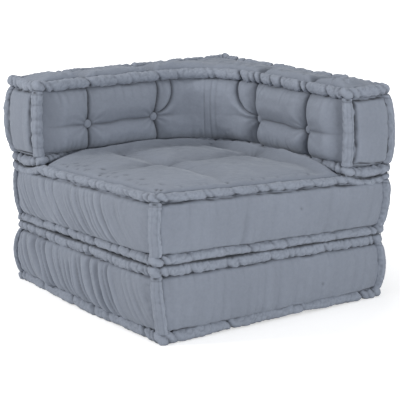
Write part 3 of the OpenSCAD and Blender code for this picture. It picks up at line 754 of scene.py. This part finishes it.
def pleats(s, z, places, seam, depth, length):
    """Short creases that run from the stitches of a seam into the panel and fade with
    distance from it."""
    nearest = abs(s[..., None] - places).min(-1)
    return depth * crease(nearest, 3.2) * exp(-abs(z - seam) / length)


# Outward directions of the front, right, rear and left side, and the corners at their ends
SIDE_WAY = ((0, -1), (1, 0), (0, 1), (-1, 0))
SIDE_ENDS = ((0, 1), (1, 2), (3, 2), (0, 3))


def fall_to_seam(d):
    """How far a top or bottom has fallen at distance d from its seam: (1 - d/14)^3."""
    return SEAM_IN * (1 - unit(d / 14)) ** 3


def mattress(prefix, h, z0, seat, seed, low, high, bows, gathers, nodes):
    """Cover of a mattress as one closed skin: a square top and bottom that fall to the seam,
    and four swollen sides, all with pits at the stitches and the sides with pleats."""
    t = eased(168, 1.12)
    x, y = meshgrid(t * SEAM, t * SEAM, indexing="ij")
    edge = SEAM - maximum(abs(x), abs(y))
    fall = fall_to_seam(edge)
    relief, dark = seat_relief(x, y) if seat else (0 * x, 0 * x)
    # Two fine lines behind the front roll
    lines = 1.5 * crease(SEAM + y - 22, 1.6) + 0.9 * crease(SEAM + y - 30, 1.6)
    lines = lines * step((SEAM - 40 - abs(x)) / 30) * step(edge / 8)
    top = (flat(x, y, h - fall + relief - lines + z0), pair(x, y), dark, (0, 0, 1))
    under = (flat(x, y, z0 + 0.3 * (1 - fall / SEAM_IN) + fall), pair(x, y), 0.0, (0, 0, -1))
    patches = [press(top, spots_at(square_path, high, 24, z0 + h + 4), 3.5, 5.0), under]
    w, t = eased(52, 1.45)[:, None], t[None]
    s = t * SEAM
    z = h / 2 + w * (h / 2 - SEAM_IN)
    # Stitches of both rolls, the height of the seam, and how far over it their pits lie
    rows = ((low, SEAM_IN, -4), (high, h - SEAM_IN, 4))
    for k, (gx, gy) in enumerate(SIDE_WAY):
        *shape, smooth_end, dents = gathers[k]
        near, far = (bows[i] for i in SIDE_ENDS[k])
        quiet = 1 - smooth_end * step((-s - 150) / 120)
        out, dark = swollen(s, w, t, seed + k, (near, far), *shape, quiet)
        for marks, seam, _ in rows:
            xy, away = plan_at(square_path, marks[0])
            mine = xy[away @ (gx, gy) > 0.9] @ (abs(gy), abs(gx))
            out = out - pleats(s, z, mine, seam, 2.2, 22) * (free(w, 12) * free(t, 10))
        out = out + SEAM
        along = side_line(t, w, near, far)
        plan = gx * out + abs(gy) * along, gy * out + abs(gx) * along
        side = (flat(*plan, z + z0), pair(s + 800.0 * k, z), dark, (gx, gy, 0))
        for marks, seam, over in rows:
            side = press(side, spots_at(square_path, marks, 2.0, z0 + (seam + over)), 6.0, 8.5)
        # The small dents get a little painted shade
        if dents:
            side = press(side, array(dents, float), 1.6, 5.0, 0.35)
        patches.append(side)
    cover = mesh_from(prefix + "_cover", patches, "cover", nodes, cover_cloth)


def mattress_rolls(prefix, h, z0, low, high, seed, bows, ears, droop, pressed, slim, nodes):
    """Both rolled edges of a mattress and the rolls at its four corner seams."""
    lower, low_loops = rolled_edge(
        square_path, z0 + ROLL_REST, -1, low, seed, SQUARE_EARS, -ears[0],
        unchanged if z0 else lifted_front)
    upper, high_loops = rolled_edge(
        square_path, z0 + h - ROLL_REST, 1, high, seed + 1, SQUARE_EARS, ears[1],
        droop, pressed, slim)
    posts = [
        upright((x - 2 * sign(x), y - 2 * sign(y)), (x, y), z0 + POST_IN, z0 + h - POST_IN,
                seed + 2 + i, bows[i], 12 if x > 0 > y else 9)
        for i, (x, y) in enumerate(SQUARE)
    ]
    mesh_from(prefix + "_rolled_edges", [lower, upper, *posts], "roll", nodes, roll_cloth)
    return low_loops + high_loops


# Pitch and strength of the stitches on the front, right, rear and left side
base_low = stitches(square_path, (165, 150, 150, 120), (1.5, 0.8, 0.8, 0.9), 11)
base_high = stitches(square_path, (58, 62, 62, 60), (0.6, 0.6, 0.6, 0.8), 12)
seat_low = stitches(square_path, (64, 62, 62, 56), (0.6, 0.6, 0.6, 0.9), 13)
seat_high = stitches(square_path, (47, 60, 60, 51), (0.6, 0.7, 0.7, 0.6), 14)
# How far the corner rolls bow out, at the front left, front right, rear right and rear left
BASE_BOWS, SEAT_BOWS, BACK_BOWS = (9, 13, 10, 20), (9, 10, 10, 10), (8, 17, 10, 20)
loops = mattress_rolls(
    "base", BASE_H, 0.0, base_low, base_high, 100, BASE_BOWS, (0, 1.0),
    unchanged, all_round, unchanged, ["base_bottom_roll", "base_top_roll", "base_corner_rolls"])
loops += mattress_rolls(
    "seat", SEAT_H, SEAT_Z, seat_low, seat_high, 200, SEAT_BOWS, (1.0, 0.0), arm_ends(12.0),
    under_bolster, near_sides, ["seat_bottom_roll", "seat_top_roll", "seat_corner_rolls"])
# For each side its full reach and the power of that, depth and pitch of the gathers, their
# lean, how far the end with the lower coordinate is smooth, and the small dents
HIDDEN = (26, 3.2, 1.6, 48, 0, 0, ())
BASE_SIDES = (
    (27, 3.0, 2.4, 66, 20, 0, [(136, -356, 67)]), HIDDEN, HIDDEN, (30, 2.5, 12.0, 48, 62, 0.6, ()))
SEAT_SIDES = (
    (27, 3.0, 2.2, 74, 14, 0, [(61, -356, 264)]), HIDDEN, HIDDEN, (30, 2.5, 8.5, 42, 88, 0.85, ()))
mattress("base", BASE_H, 0.0, False, 110, base_low, base_high, BASE_BOWS, BASE_SIDES,
         ["base_bottom_panel", "base_side_band", "base_top_panel", "base_filling"])
mattress("seat", SEAT_H, SEAT_Z, True, 210, seat_low, seat_high, SEAT_BOWS, SEAT_SIDES,
         ["seat_bottom_panel", "seat_side_band", "seat_top_panel", "seat_filling"])


# Bolster

ARC_END = MID + FILLET * pi / 4  # length of the inner face up to the diagonal
ARC_MM = 2.6  # millimetres to a degree of the inner corner
stations = linspace(-SEAM, ARC_END, int((ARC_END + SEAM) / 2.5))
lid_rows = eased(44, 1.15)
heights = BACK_H / 2 + eased(76, 1.25) * (BACK_H / 2 - SEAM_IN)
# Upright seams in the inner corner: angle from the rear, width and depth
CORNER_SEAMS = ((40, 1.5, 1.6), (47, 1.3, 2.2), (53, 3.5, 1.2))


def share(z):
    """Height over the bolster's foot as a share, from -1 at the lower seam to 1 at the upper."""
    return (z - BACK_H / 2) / (BACK_H / 2 - SEAM_IN)


def wedge(d, dz, near, far):
    """Crease whose width goes from near at the button's height to far at the seams."""
    return crease(d, near + (far - near) * unit(abs(dz) / 90))


def arc_angle(a):
    """Angle turned at length a of the inner face, 0 along its straight part."""
    return clip(a - MID, 0, None) / FILLET


def inner_plan(a, out):
    """Plan place at length a along half of the inner face, out in front of its seam: straight
    along the rear arm, then round the arc."""
    phi = arc_angle(a)
    r = INNER_SEAM - MID - out
    return (where(phi > 0, MID + r * sin(phi), a),
            where(phi > 0, MID + r * cos(phi), INNER_SEAM - out))


def opposite(a):
    """Place on the outer seam opposite length a of the inner face."""
    phi = arc_angle(a)
    return where(phi > 0, MID + (SEAM - MID) * np.tan(phi), a)


def inner_relief(a, z, seed, mirror):
    """How far the inner face stands out at length a and height z: a full lobe between the
    rolls, less the smooth maximum (sum of cubes)^(1/3) of a pit at each button, an upright
    crease above and below it, a level crease through it and curved creases from the inner
    button to the top roll, with puckers, small folds at foot and head and upright seams in the
    corner. Gives painted shade too, in the creases, the pits, a shadow below the inner button,
    the corner seams and the grooves at the seams, less painted light toward the foot and toward
    the corner."""
    # The side arm is tufted more deeply than the rear one
    arc_reach, shadow_deep, cut_deep, level_deep, pit_deep = (
        (88, 1.0, 1.0, 1.0, 23) if mirror else (64, 0.3, 0.66, 0.85, 17))
    w = clip(share(z), -1, 1)
    b1, b2 = BUTTONS
    dz = z - BUTTON_Z
    top, low = step(dz / 95), step(-dz / 75)
    x, y = inner_plan(a, 0.0)
    q = flat(*((y, x, z) if mirror else (x, y, z)))
    shift = 2.5 * noise(q, 55, 23)
    far = a - (b1 + 9 * top + 9 * low) + shift
    near = a - (b2 + 22 * top + 21 * low ** 0.8) + shift
    arc = a - b2 - arc_reach * (1 - exp(-clip(dz - 5, 0, None) / 22))
    above = step((dz - 2) / 8)
    soft_cut = most(bump(far, 21), bump(near, 23), 0.6 * above * bump(arc, 16))
    sharp_cut = most(wedge(far, dz, 5.5, 2.6), wedge(near, dz, 7.0, 3.4),
                     0.85 * above * wedge(arc, dz, 5.5, 3.0))
    fade = where(a > b2, exp(-(a - b2) / 45), 1)
    fade = fade * where(a < b1, 0.45 + 0.55 * exp((a - b1) / 40), 1)
    ripple = dz + 4 * noise(flat(a, 40.0 * seed), 55, seed + 4)
    pit, pucker = 0.0, 0.0
    for b in BUTTONS:
        r, g = hypot(a - b, dz), arctan2(dz, a - b)
        pit = maximum(pit, 0.55 * bump(r, 25) + 0.45 * exp(-clip(r - 6, 0, None) / 8))
        rays = cos(10 * g + 2.0 * sin(2 * g + b))
        pucker = pucker + rays * exp(-r / 34) * step((r - 8) / 14)
    shadow = bump(near - 16, 20) * bump(dz + 25, 50) * shadow_deep
    cut = (14.0 * soft_cut + 15.0 * sharp_cut) * cut_deep + 7.0 * shadow
    ledge = (11.0 * bump(ripple, 24) + 8.0 * crease(ripple, 5)) * fade * level_deep
    dent = (cut ** 3 + ledge ** 3 + (pit_deep * pit) ** 3) ** (1 / 3)
    lobe = 36 * free(w, 3.2) ** 0.62 + 3.2 * bump(dz - 30, 20) * fade
    soft = 2.4 * noise(q, 62, 24) + 1.3 * noise(q, 26, 25) + 2.0 * crumple(q, 24, 26) * w ** 2
    lean = a + 22 * w * noise(flat(a, 3.0), 60, seed + 12)
    small = 1.7 * folds(lean, 21, seed + 6) * step((-w - 0.4) / 0.45)
    small = small * (0.6 + 0.8 * noise(q, 45, 31))
    small = small + 1.8 * folds(lean, 25, seed + 8) * step((w - 0.35) / 0.5)
    rim = free(w, 10)
    end = step((a + SEAM) / 60)
    angle = np.degrees(arctan2(q[..., 0] - MID, q[..., 1] - MID))
    wander = 2 * noise(q, 80, 27)
    seamed = [d * crease((angle - at) * ARC_MM + wander, wide) for at, wide, d in CORNER_SEAMS]
    seamed = sum(seamed) * rim * (x > MID)
    out = lobe - 2.0 * pucker + soft - dent + small * step((ARC_END - a) / 30)
    out = out * rim * end - seamed
    # Painted shade in the sharp creases, the level crease, the rings round the pits, the shadow
    # below the inner button, the corner seams and the grooves at the seams
    dark = 0.9 * sharp_cut ** 1.5 + 0.30 * crease(ripple, 3.5) * fade
    dark = unit(dark + 0.85 * bump(pit - 1, 0.33) + 0.2 * shadow)
    sewn = crease((1 - abs(w)) * 85 - 6.5 - 2.2 * noise(q, 20, 29), 1.4)
    sewn = sewn * (0.7 + 0.5 * noise(q, 17, 28)) * rim
    dark = unit((dark * end + 0.12 * seamed) * rim + 1.1 * sewn ** 1.3)
    # Painted light: the face is lightened towards its foot and towards the corner
    painted_light = 0.09 * step((0.2 - w) / 0.6) + 0.05 * step((a - 20) / 60)
    return out - 6.0 * sewn, dark - painted_light


# Pitch and strength of the stitches on the inner sides of both arms, the front end and the
# right, rear and left side. The upper roll has extra ones at the creases of its faces.
BOLSTER_CORNERS = (0, 2, 3, 4, 5)
back_low = stitches(
    bolster_path, (62, 55, 80, 62, 62, 75), (0.7, 0.8, 0.5, 0.7, 0.7, 0.6), 15, BOLSTER_CORNERS)
back_high = stitches(
    bolster_path, (50, 50, 90, 88, 88, 70), (0.8, 1.5, 0.8, 1.6, 1.6, 1.1), 16, BOLSTER_CORNERS,
    [(-192, INNER_LINE, 1.3), (22, INNER_LINE, 1.2), (INNER_LINE, 22, 1.5), (INNER_LINE, -190, 1.5),
     (-200, LINE, 2.2), (14, LINE, 2.2), (LINE, 14, 2.2), (LINE, -200, 2.2)])


def lid(mirror, seed):
    """Top and bottom panel of one arm. The top has a lobe between the valleys over the buttons,
    gathers at both rims and a sunk seam line along the outer one."""
    a, q = meshgrid(stations, lid_rows, indexing="ij")
    near, away = pair(*inner_plan(a, 0.0)), pair(opposite(a), SEAM)
    plan = near + (away - near) * ((q + 1) / 2)[..., None]
    place = flat(*(plan[..., ::-1] if mirror else plan).transpose(2, 0, 1))
    fall = fall_to_seam(minimum(ARM_HALF * (1 - abs(q)), a + SEAM))
    first, second = a - BUTTONS[0] - 7, a - BUTTONS[1] - 18
    sink = maximum(bump(first, 17), bump(second, 20))
    valley = maximum(crease(first, 5), crease(second, 5))
    soft = 2.6 * noise(place, 70, 35) + 2.2 * crumple(place, 24, 36)
    gather = 1.5 * folds(a + 12 * q, 25, seed + 7) * step((abs(q) - 0.1) / 0.7)
    gather = gather * step((ARC_END - a) / 30)
    body = free(q, 4) * step((a + SEAM) / 50)
    lobe = 11.0 - 6 * step((a - 40) / 130)
    high = lobe - 8.0 * q - 19 * sink - 13 * valley + 2.0 * soft + 1.6 * gather
    high = BACK_H - fall + high * body
    sewn = crease(ARM_HALF * (1 - q) - 8 - 1.5 * noise(place, 17, 37), 2.2)
    sewn = sewn * clip(0.7 + 0.8 * noise(place, 50, 38), 0, 1.2) * step((a + SEAM) / 20)
    # Painted shade in the valleys, the sinks and the sunk seam line; painted light on the rear
    # arm's top towards its free end
    dark = (0.5 * valley + 0.2 * sink) * body + 1.0 * sewn
    dark = dark - (0.0 if mirror else 0.06) * step((-a - 60) / 80)
    x, y = plan[..., 0], plan[..., 1]
    return [
        (flat(x, y, high - 3.5 * sewn + BACK_Z), plan, clip(dark, -0.1, 1), (0, 0, 1)),
        (flat(x, y, fall + 0.3 * (1 - fall / SEAM_IN) + BACK_Z), plan, 0.0, (0, 0, -1)),
    ]


def bolster_faces(mirror):
    """The five panels of one arm, up to the diagonal of the corner: the inner face, the outer
    side with a dent at each rear button, the end, the top and the bottom. The side arm's are
    made like the rear arm's, with x and y exchanged."""
    seed = 310 + 20 * mirror
    order = [1, 0, 2] if mirror else [0, 1, 2]
    z, a = heights[:, None], stations[None]
    w = share(z)
    out, dark = inner_relief(a, z, seed, mirror)
    x, y = inner_plan(a, out)
    drawn = unit(1 - (a + SEAM) / 60) ** 3 * edge_bow(w, 3)
    faces = [(flat(x - drawn, y, z + BACK_Z), pair(a, z), dark, (0, -1, 0))]

    s = opposite(a)
    t = s / SEAM
    end_bow, far_bow = BACK_BOWS[1 if mirror else 3], BACK_BOWS[2]
    reach, dark = swollen(s, w, t, seed + 1, (end_bow, far_bow), 32, 2.8, 1.5, 45, 0, 1)
    pit = most(*[bump(hypot(s - b, z - BUTTON_Z), 26) for b in BUTTONS])
    pit = pit * free(w, 10) * free(t, 10)
    # The dents at the rear buttons get painted shade
    faces.append((flat(side_line(t, w, end_bow, far_bow), SEAM + reach - 12 * pit, z + BACK_Z),
                  pair(s, z), dark + 0.3 * pit, (0, 1, 0)))

    q = lid_rows[None]
    # The rear arm's end face is darkened a little with painted shade
    belly, end_painted_shade = (31, 0) if mirror else (28, 0.04)
    swell, dark = swollen(q * ARM_HALF, w, q, seed + 2, (3, end_bow), belly, 2.8, 0.5, 40, 0, 1)
    crimp = 0.9 * folds(z + 0 * q, 26, seed + 4) * q ** 2 * free(q, 8) * free(w, 8)
    rim = edge_bow(w, end_bow) * unit(q) ** 4
    faces.append((flat(-SEAM - swell - crimp, ARM_MIDDLE + ARM_HALF * q + rim, z + BACK_Z),
                  pair(q * ARM_HALF, z), dark + end_painted_shade, (-1, 0, 0)))

    # Stitches of both rolls, the height of their pits and the depth of these
    rows = ((back_low, SEAM_IN - 4, 2.5), (back_high, BACK_H - SEAM_IN + 4, 5.0))
    done = []
    for p, uv, dark, way in faces + lid(mirror, seed):
        patch = (p[..., order], uv, dark, array(way)[order])
        for marks, seam, depth in rows:
            patch = press(patch, spots_at(bolster_path, marks, 3, BACK_Z + seam), depth, 8.0)
        done.append(patch)
    return done


def rear_rise(x, y):
    """Lift of the upper roll along the outer sides, less at the arms' ends and none in front,
    given as a negative droop."""
    rise = 2.0 + 3.2 * step((minimum(x, y) + LINE - 30) / 110)
    return -rise * step((maximum(x, y) - INNER_LINE - 20) / 60)


lower, low_loops = rolled_edge(
    bolster_path, BACK_Z + ROLL_REST, -1, back_low, 400, BOLSTER_EARS, -0.5, arm_ends(9.5))
upper, high_loops = rolled_edge(
    bolster_path, BACK_Z + BACK_H - ROLL_REST, 1, back_high, 401, BOLSTER_EARS, 1.0,
    rear_rise, unchanged)
loops += low_loops + high_loops
# Place and outward direction of each corner roll, its seed, bow, thickness, scallops and width
posts = [
    upright(place, way, BACK_Z + POST_IN, BACK_Z + BACK_H - POST_IN, seed, *shape)
    for place, way, seed, *shape in (
        ((LINE - 2, 2 - LINE), (1, -1), 412, BACK_BOWS[1] - 3, 12.5),
        ((LINE - 2, LINE - 2), (1, 1), 411, BACK_BOWS[2]),
        ((2 - LINE, LINE - 2), (-1, 1), 410, BACK_BOWS[3] + 1, 12, 0.16),
        ((1 - LINE, INNER_LINE + 2), (-1, -0.5), 413, 8, 12.5, 0.22, 13.5),
        ((INNER_LINE + 2, 1 - LINE), (-0.5, -1), 414, 8, 12.5, 0.12, 12.5),
    )
]
mesh_from("back_rolled_edges", [lower, upper, *posts], "roll",
          ["back_bottom_roll", "back_top_roll", "back_corner_rolls"], roll_cloth)
back = mesh_from(
    "back_cover", bolster_faces(False) + bolster_faces(True), "cover",
    ["back_bottom_panel", "back_outer_panel", "back_inner_panel", "back_end_panels",
     "back_top_panel", "back_filling"], cover_cloth)


# Small parts

BUTTON_R = 10.5  # radius of a covered button


def button(place, axis, turn):
    """Covered button: a dome of revolution, radius 10.5 and height 6, with a rolled rim and
    faint pleats round it."""
    tt, aa = meshgrid(linspace(0, 1, 21), linspace(0, 2 * pi, 41), indexing="ij")
    under, over = unit(tt / 0.3), unit((tt - 0.3) / 0.7) * pi / 2
    r = BUTTON_R * where(tt < 0.3, sqrt(under), unit(cos(over)) ** 0.7)
    h = where(tt < 0.3, 2.2 * under - 1.6, 0.6 + 5.0 * sin(over))
    r = r * (1 + 0.02 * sin(aa * 13 + turn) * bump(tt - 0.35, 0.2))
    n = array(axis, float)
    side = cross(n, [0, 0, 1.0])
    u, v = r * cos(aa), r * sin(aa)
    p = array(place, float) + h[..., None] * n
    p = p + u[..., None] * side + v[..., None] * cross(side, n)
    p[0], p[-1], p[:, -1] = p[0].mean(0), p[-1].mean(0), p[:, 0]
    # The underside below the rolled rim gets painted shade
    return p, pair(u, v), 0.4 * bump(tt - 0.1, 0.2), None


def arm_buttons(place, way):
    """The four buttons of one side: place gives how far out each lies, way is its direction."""
    parts = []
    for b in BUTTONS:
        for mirror in (False, True):
            y = place(b, mirror)
            spot, axis = ((y, b), (way, 0, 0)) if mirror else ((b, y), (0, way, 0))
            parts.append(button((*spot, BACK_Z + BUTTON_Z), axis, b))
    return parts


def face_place(b, mirror):
    """Where a face button lies in its pit."""
    pit = inner_relief(array([[b]]), array([[BUTTON_Z]]), 310 + 20 * mirror, mirror)[0]
    return INNER_SEAM - float(pit[0, 0]) - (7.5 if mirror else 5.5)


def rear_place(*_):
    """Where a rear button lies in its dent."""
    return SEAM + 22.0


mesh_from(
    "face_buttons_covered", arm_buttons(face_place, -1), "button", ["face_buttons"], button_cloth)
mesh_from(
    "rear_buttons_covered", arm_buttons(rear_place, 1), "button", ["rear_buttons"], button_cloth)


def tack(corner, way, z, seed):
    """Three threads that hold two rolls together at a corner: each hooks over the upper roll,
    runs down outside both and hooks under the lower one, the threads crossing each other."""
    rs = np.random.RandomState(seed)
    t = linspace(-1, 1, 25)
    o = array(way, float) / hypot(*way)
    side = array([-o[1], o[0]])
    hook = unit((abs(t) - 0.45) / 0.55) * 1.15
    reach = (ROLL - 2.5) * cos(hook)
    rise = minimum(abs(t) / 0.45, 1) * ROLL_REST + (ROLL_HIGH - 2.5) * sin(hook)
    lines = []
    for a, b in rs.uniform(-6, 6, (3, 2)):
        drift = a * (1 - t) / 2 + b * (1 + t) / 2
        xy = array(corner, float) + o * reach[:, None] + side * drift[:, None]
        lines.append(thread(flat(xy[:, 0], xy[:, 1], z + sign(t) * rise), 0.8))
    return lines


# Tacks lie a little inside the corners: those of the seat, and of the bolster
IN = 3.2
seat_spots = [(x - IN * sign(x), y - IN * sign(y)) for x, y in SQUARE]
back_spots = [(c, c, 40 + i) for i, c in enumerate(seat_spots[1:])]
back_spots += [
    ((IN - LINE, INNER_LINE + IN), (-1, -1), 50), ((INNER_LINE + IN, IN - LINE), (-1, -1), 51)]
tacks = [t for i, c in enumerate(seat_spots) for t in tack(c, c, SEAT_Z, 30 + i)]
mesh_from("seat_tack_threads", tacks, "twine", ["seat_tacks"], twine)
tacks = [t for c, way, seed in back_spots for t in tack(c, way, BACK_Z, seed)]
mesh_from("back_tack_threads", tacks, "twine", ["back_tacks"], twine)
mesh_from("stitch_threads", loops, "twine", [], twine)


def knot(x, y):
    """Tuft of the seat: a trefoil (sin t + 2 sin 2t, cos t - 2 cos 2t, -sin 3t) of twine in the
    pit, over the twine that runs down to the washer."""
    z = SEAT_Z + SEAT_H + float(seat_relief(array([x]), array([y]))[0][0])
    t = linspace(0, 2 * pi, 61)
    right, back = sin(t) + 2 * sin(2 * t), cos(t) - 2 * cos(2 * t)
    line = flat(x + 1.1 * right, y + 1.1 * back, z + 1.2 - 1.2 * sin(3 * t))
    line[-1] = line[0]
    tie = flat(x, y, linspace(SEAT_Z + 6, z + 1, 9))
    return [thread(line, 1.2, closed=True), thread(tie, 1.25, sides=8)]


knots = [part for x in (-TUFT_X, TUFT_X) for y in TUFT_Y for part in knot(x, y)]
mesh_from("seat_tuft_knots", knots, "twine", ["seat_ties"], twine)

for node in ("base_ties", "button_ties"):
    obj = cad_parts[node]
    obj.data.materials.clear()
    obj.data.materials.append(twine)


# Camera, light and floor

# Focal length and optical centre of the photograph, in its pixels
PHOTO, FOCAL, CENTRE = 400, 1305.7, (195.5, 169.6)
TARGET = array([0, 0, 0.315])
AZIMUTH, ELEVATION, DISTANCE = np.radians(-34.95), np.radians(11.21), 3.3816
level = cos(ELEVATION)
toward = array([sin(AZIMUTH) * level, -cos(AZIMUTH) * level, sin(ELEVATION)])
camera = placed("camera", bpy.data.cameras.new("camera"))
camera.location = Vector(TARGET + toward * DISTANCE)
camera.rotation_euler = Vector(-toward).to_track_quat("-Z", "Y").to_euler()
camera.data.lens = 36.0 * FOCAL / PHOTO
camera.data.shift_x = (PHOTO / 2 - CENTRE[0]) / PHOTO
camera.data.shift_y = (CENTRE[1] - PHOTO / 2) / PHOTO
bpy.context.scene.camera = camera


def area_light(name, place, aim, size, power, color):
    """Rectangular lamp at a place, turned to its aim."""
    data = bpy.data.lights.new(name, "AREA")
    data.shape = "RECTANGLE"
    data.size, data.size_y = size
    data.energy = power
    data.color = color
    obj = placed(name, data)
    obj.location = place
    obj.rotation_euler = (Vector(aim) - Vector(place)).to_track_quat("-Z", "Y").to_euler()


area_light("key", (-3.2, 1.2, 2.1), (0, 0, 0.2), (0.7, 0.7), 71, (1.0, 0.99, 0.98))
area_light("fill", (-0.2, -3.7, 0.8), (0, 0, 0.3), (1.4, 1.0), 55, (0.98, 0.99, 1.0))
area_light("over", (0.2, -0.4, 3.2), (0, 0, 0.3), (1.2, 1.2), 12, (1, 1, 1))


def pale(name, color, near, far):
    """Floor that shows the object's shadow and glows towards the camera to a clean white:
    little near the object and more from half a metre to 1.3 m away."""
    mat, add = new_material(name)
    away = add("VectorMath", {0: add("TexCoord")["Object"]}, operation="LENGTH")
    span = {"From Min": 0.5, "From Max": 1.3, "To Min": near, "To Max": far}
    glow = add("MapRange", {"Value": away["Value"], **span})["Result"]
    ray = add("LightPath")
    rays = {0: ray["Is Camera Ray"], 1: ray["Is Glossy Ray"]}
    seen = add("Math", rays, operation="MAXIMUM")[0]
    matt = add("BsdfDiffuse", {"Color": (*color, 1)})[0]
    light = add("Emission", {"Strength": glow})[0]
    both = add("AddShader", {0: matt, 1: light})[0]
    mix = add("MixShader", {0: seen, 1: matt, 2: both})[0]
    add("OutputMaterial", {"Surface": mix})
    return mat


floor = bpy.data.meshes.new("floor")
floor.from_pydata([(-40, -40, 0), (40, -40, 0), (40, 40, 0), (-40, 40, 0)], [], [(0, 1, 2, 3)])
floor.materials.append(pale("floor_white", (0.82, 0.82, 0.82), 0.50, 1.0))
floor_obj = placed("floor", floor)

world = bpy.data.worlds.new("studio")
bpy.context.scene.world = world
world.use_nodes = True
add = node_maker(world.node_tree)
lit = add("Background", {"Color": (0.97, 0.98, 1.0, 1), "Strength": 0.44})[0]
white = add("Background", {"Color": (1, 1, 1, 1)})[0]
shown = {0: add("LightPath")["Is Camera Ray"], 1: lit, 2: white}
add("OutputWorld", {"Surface": add("MixShader", shown)[0]})
bpy.context.scene.view_settings.view_transform = "Standard"
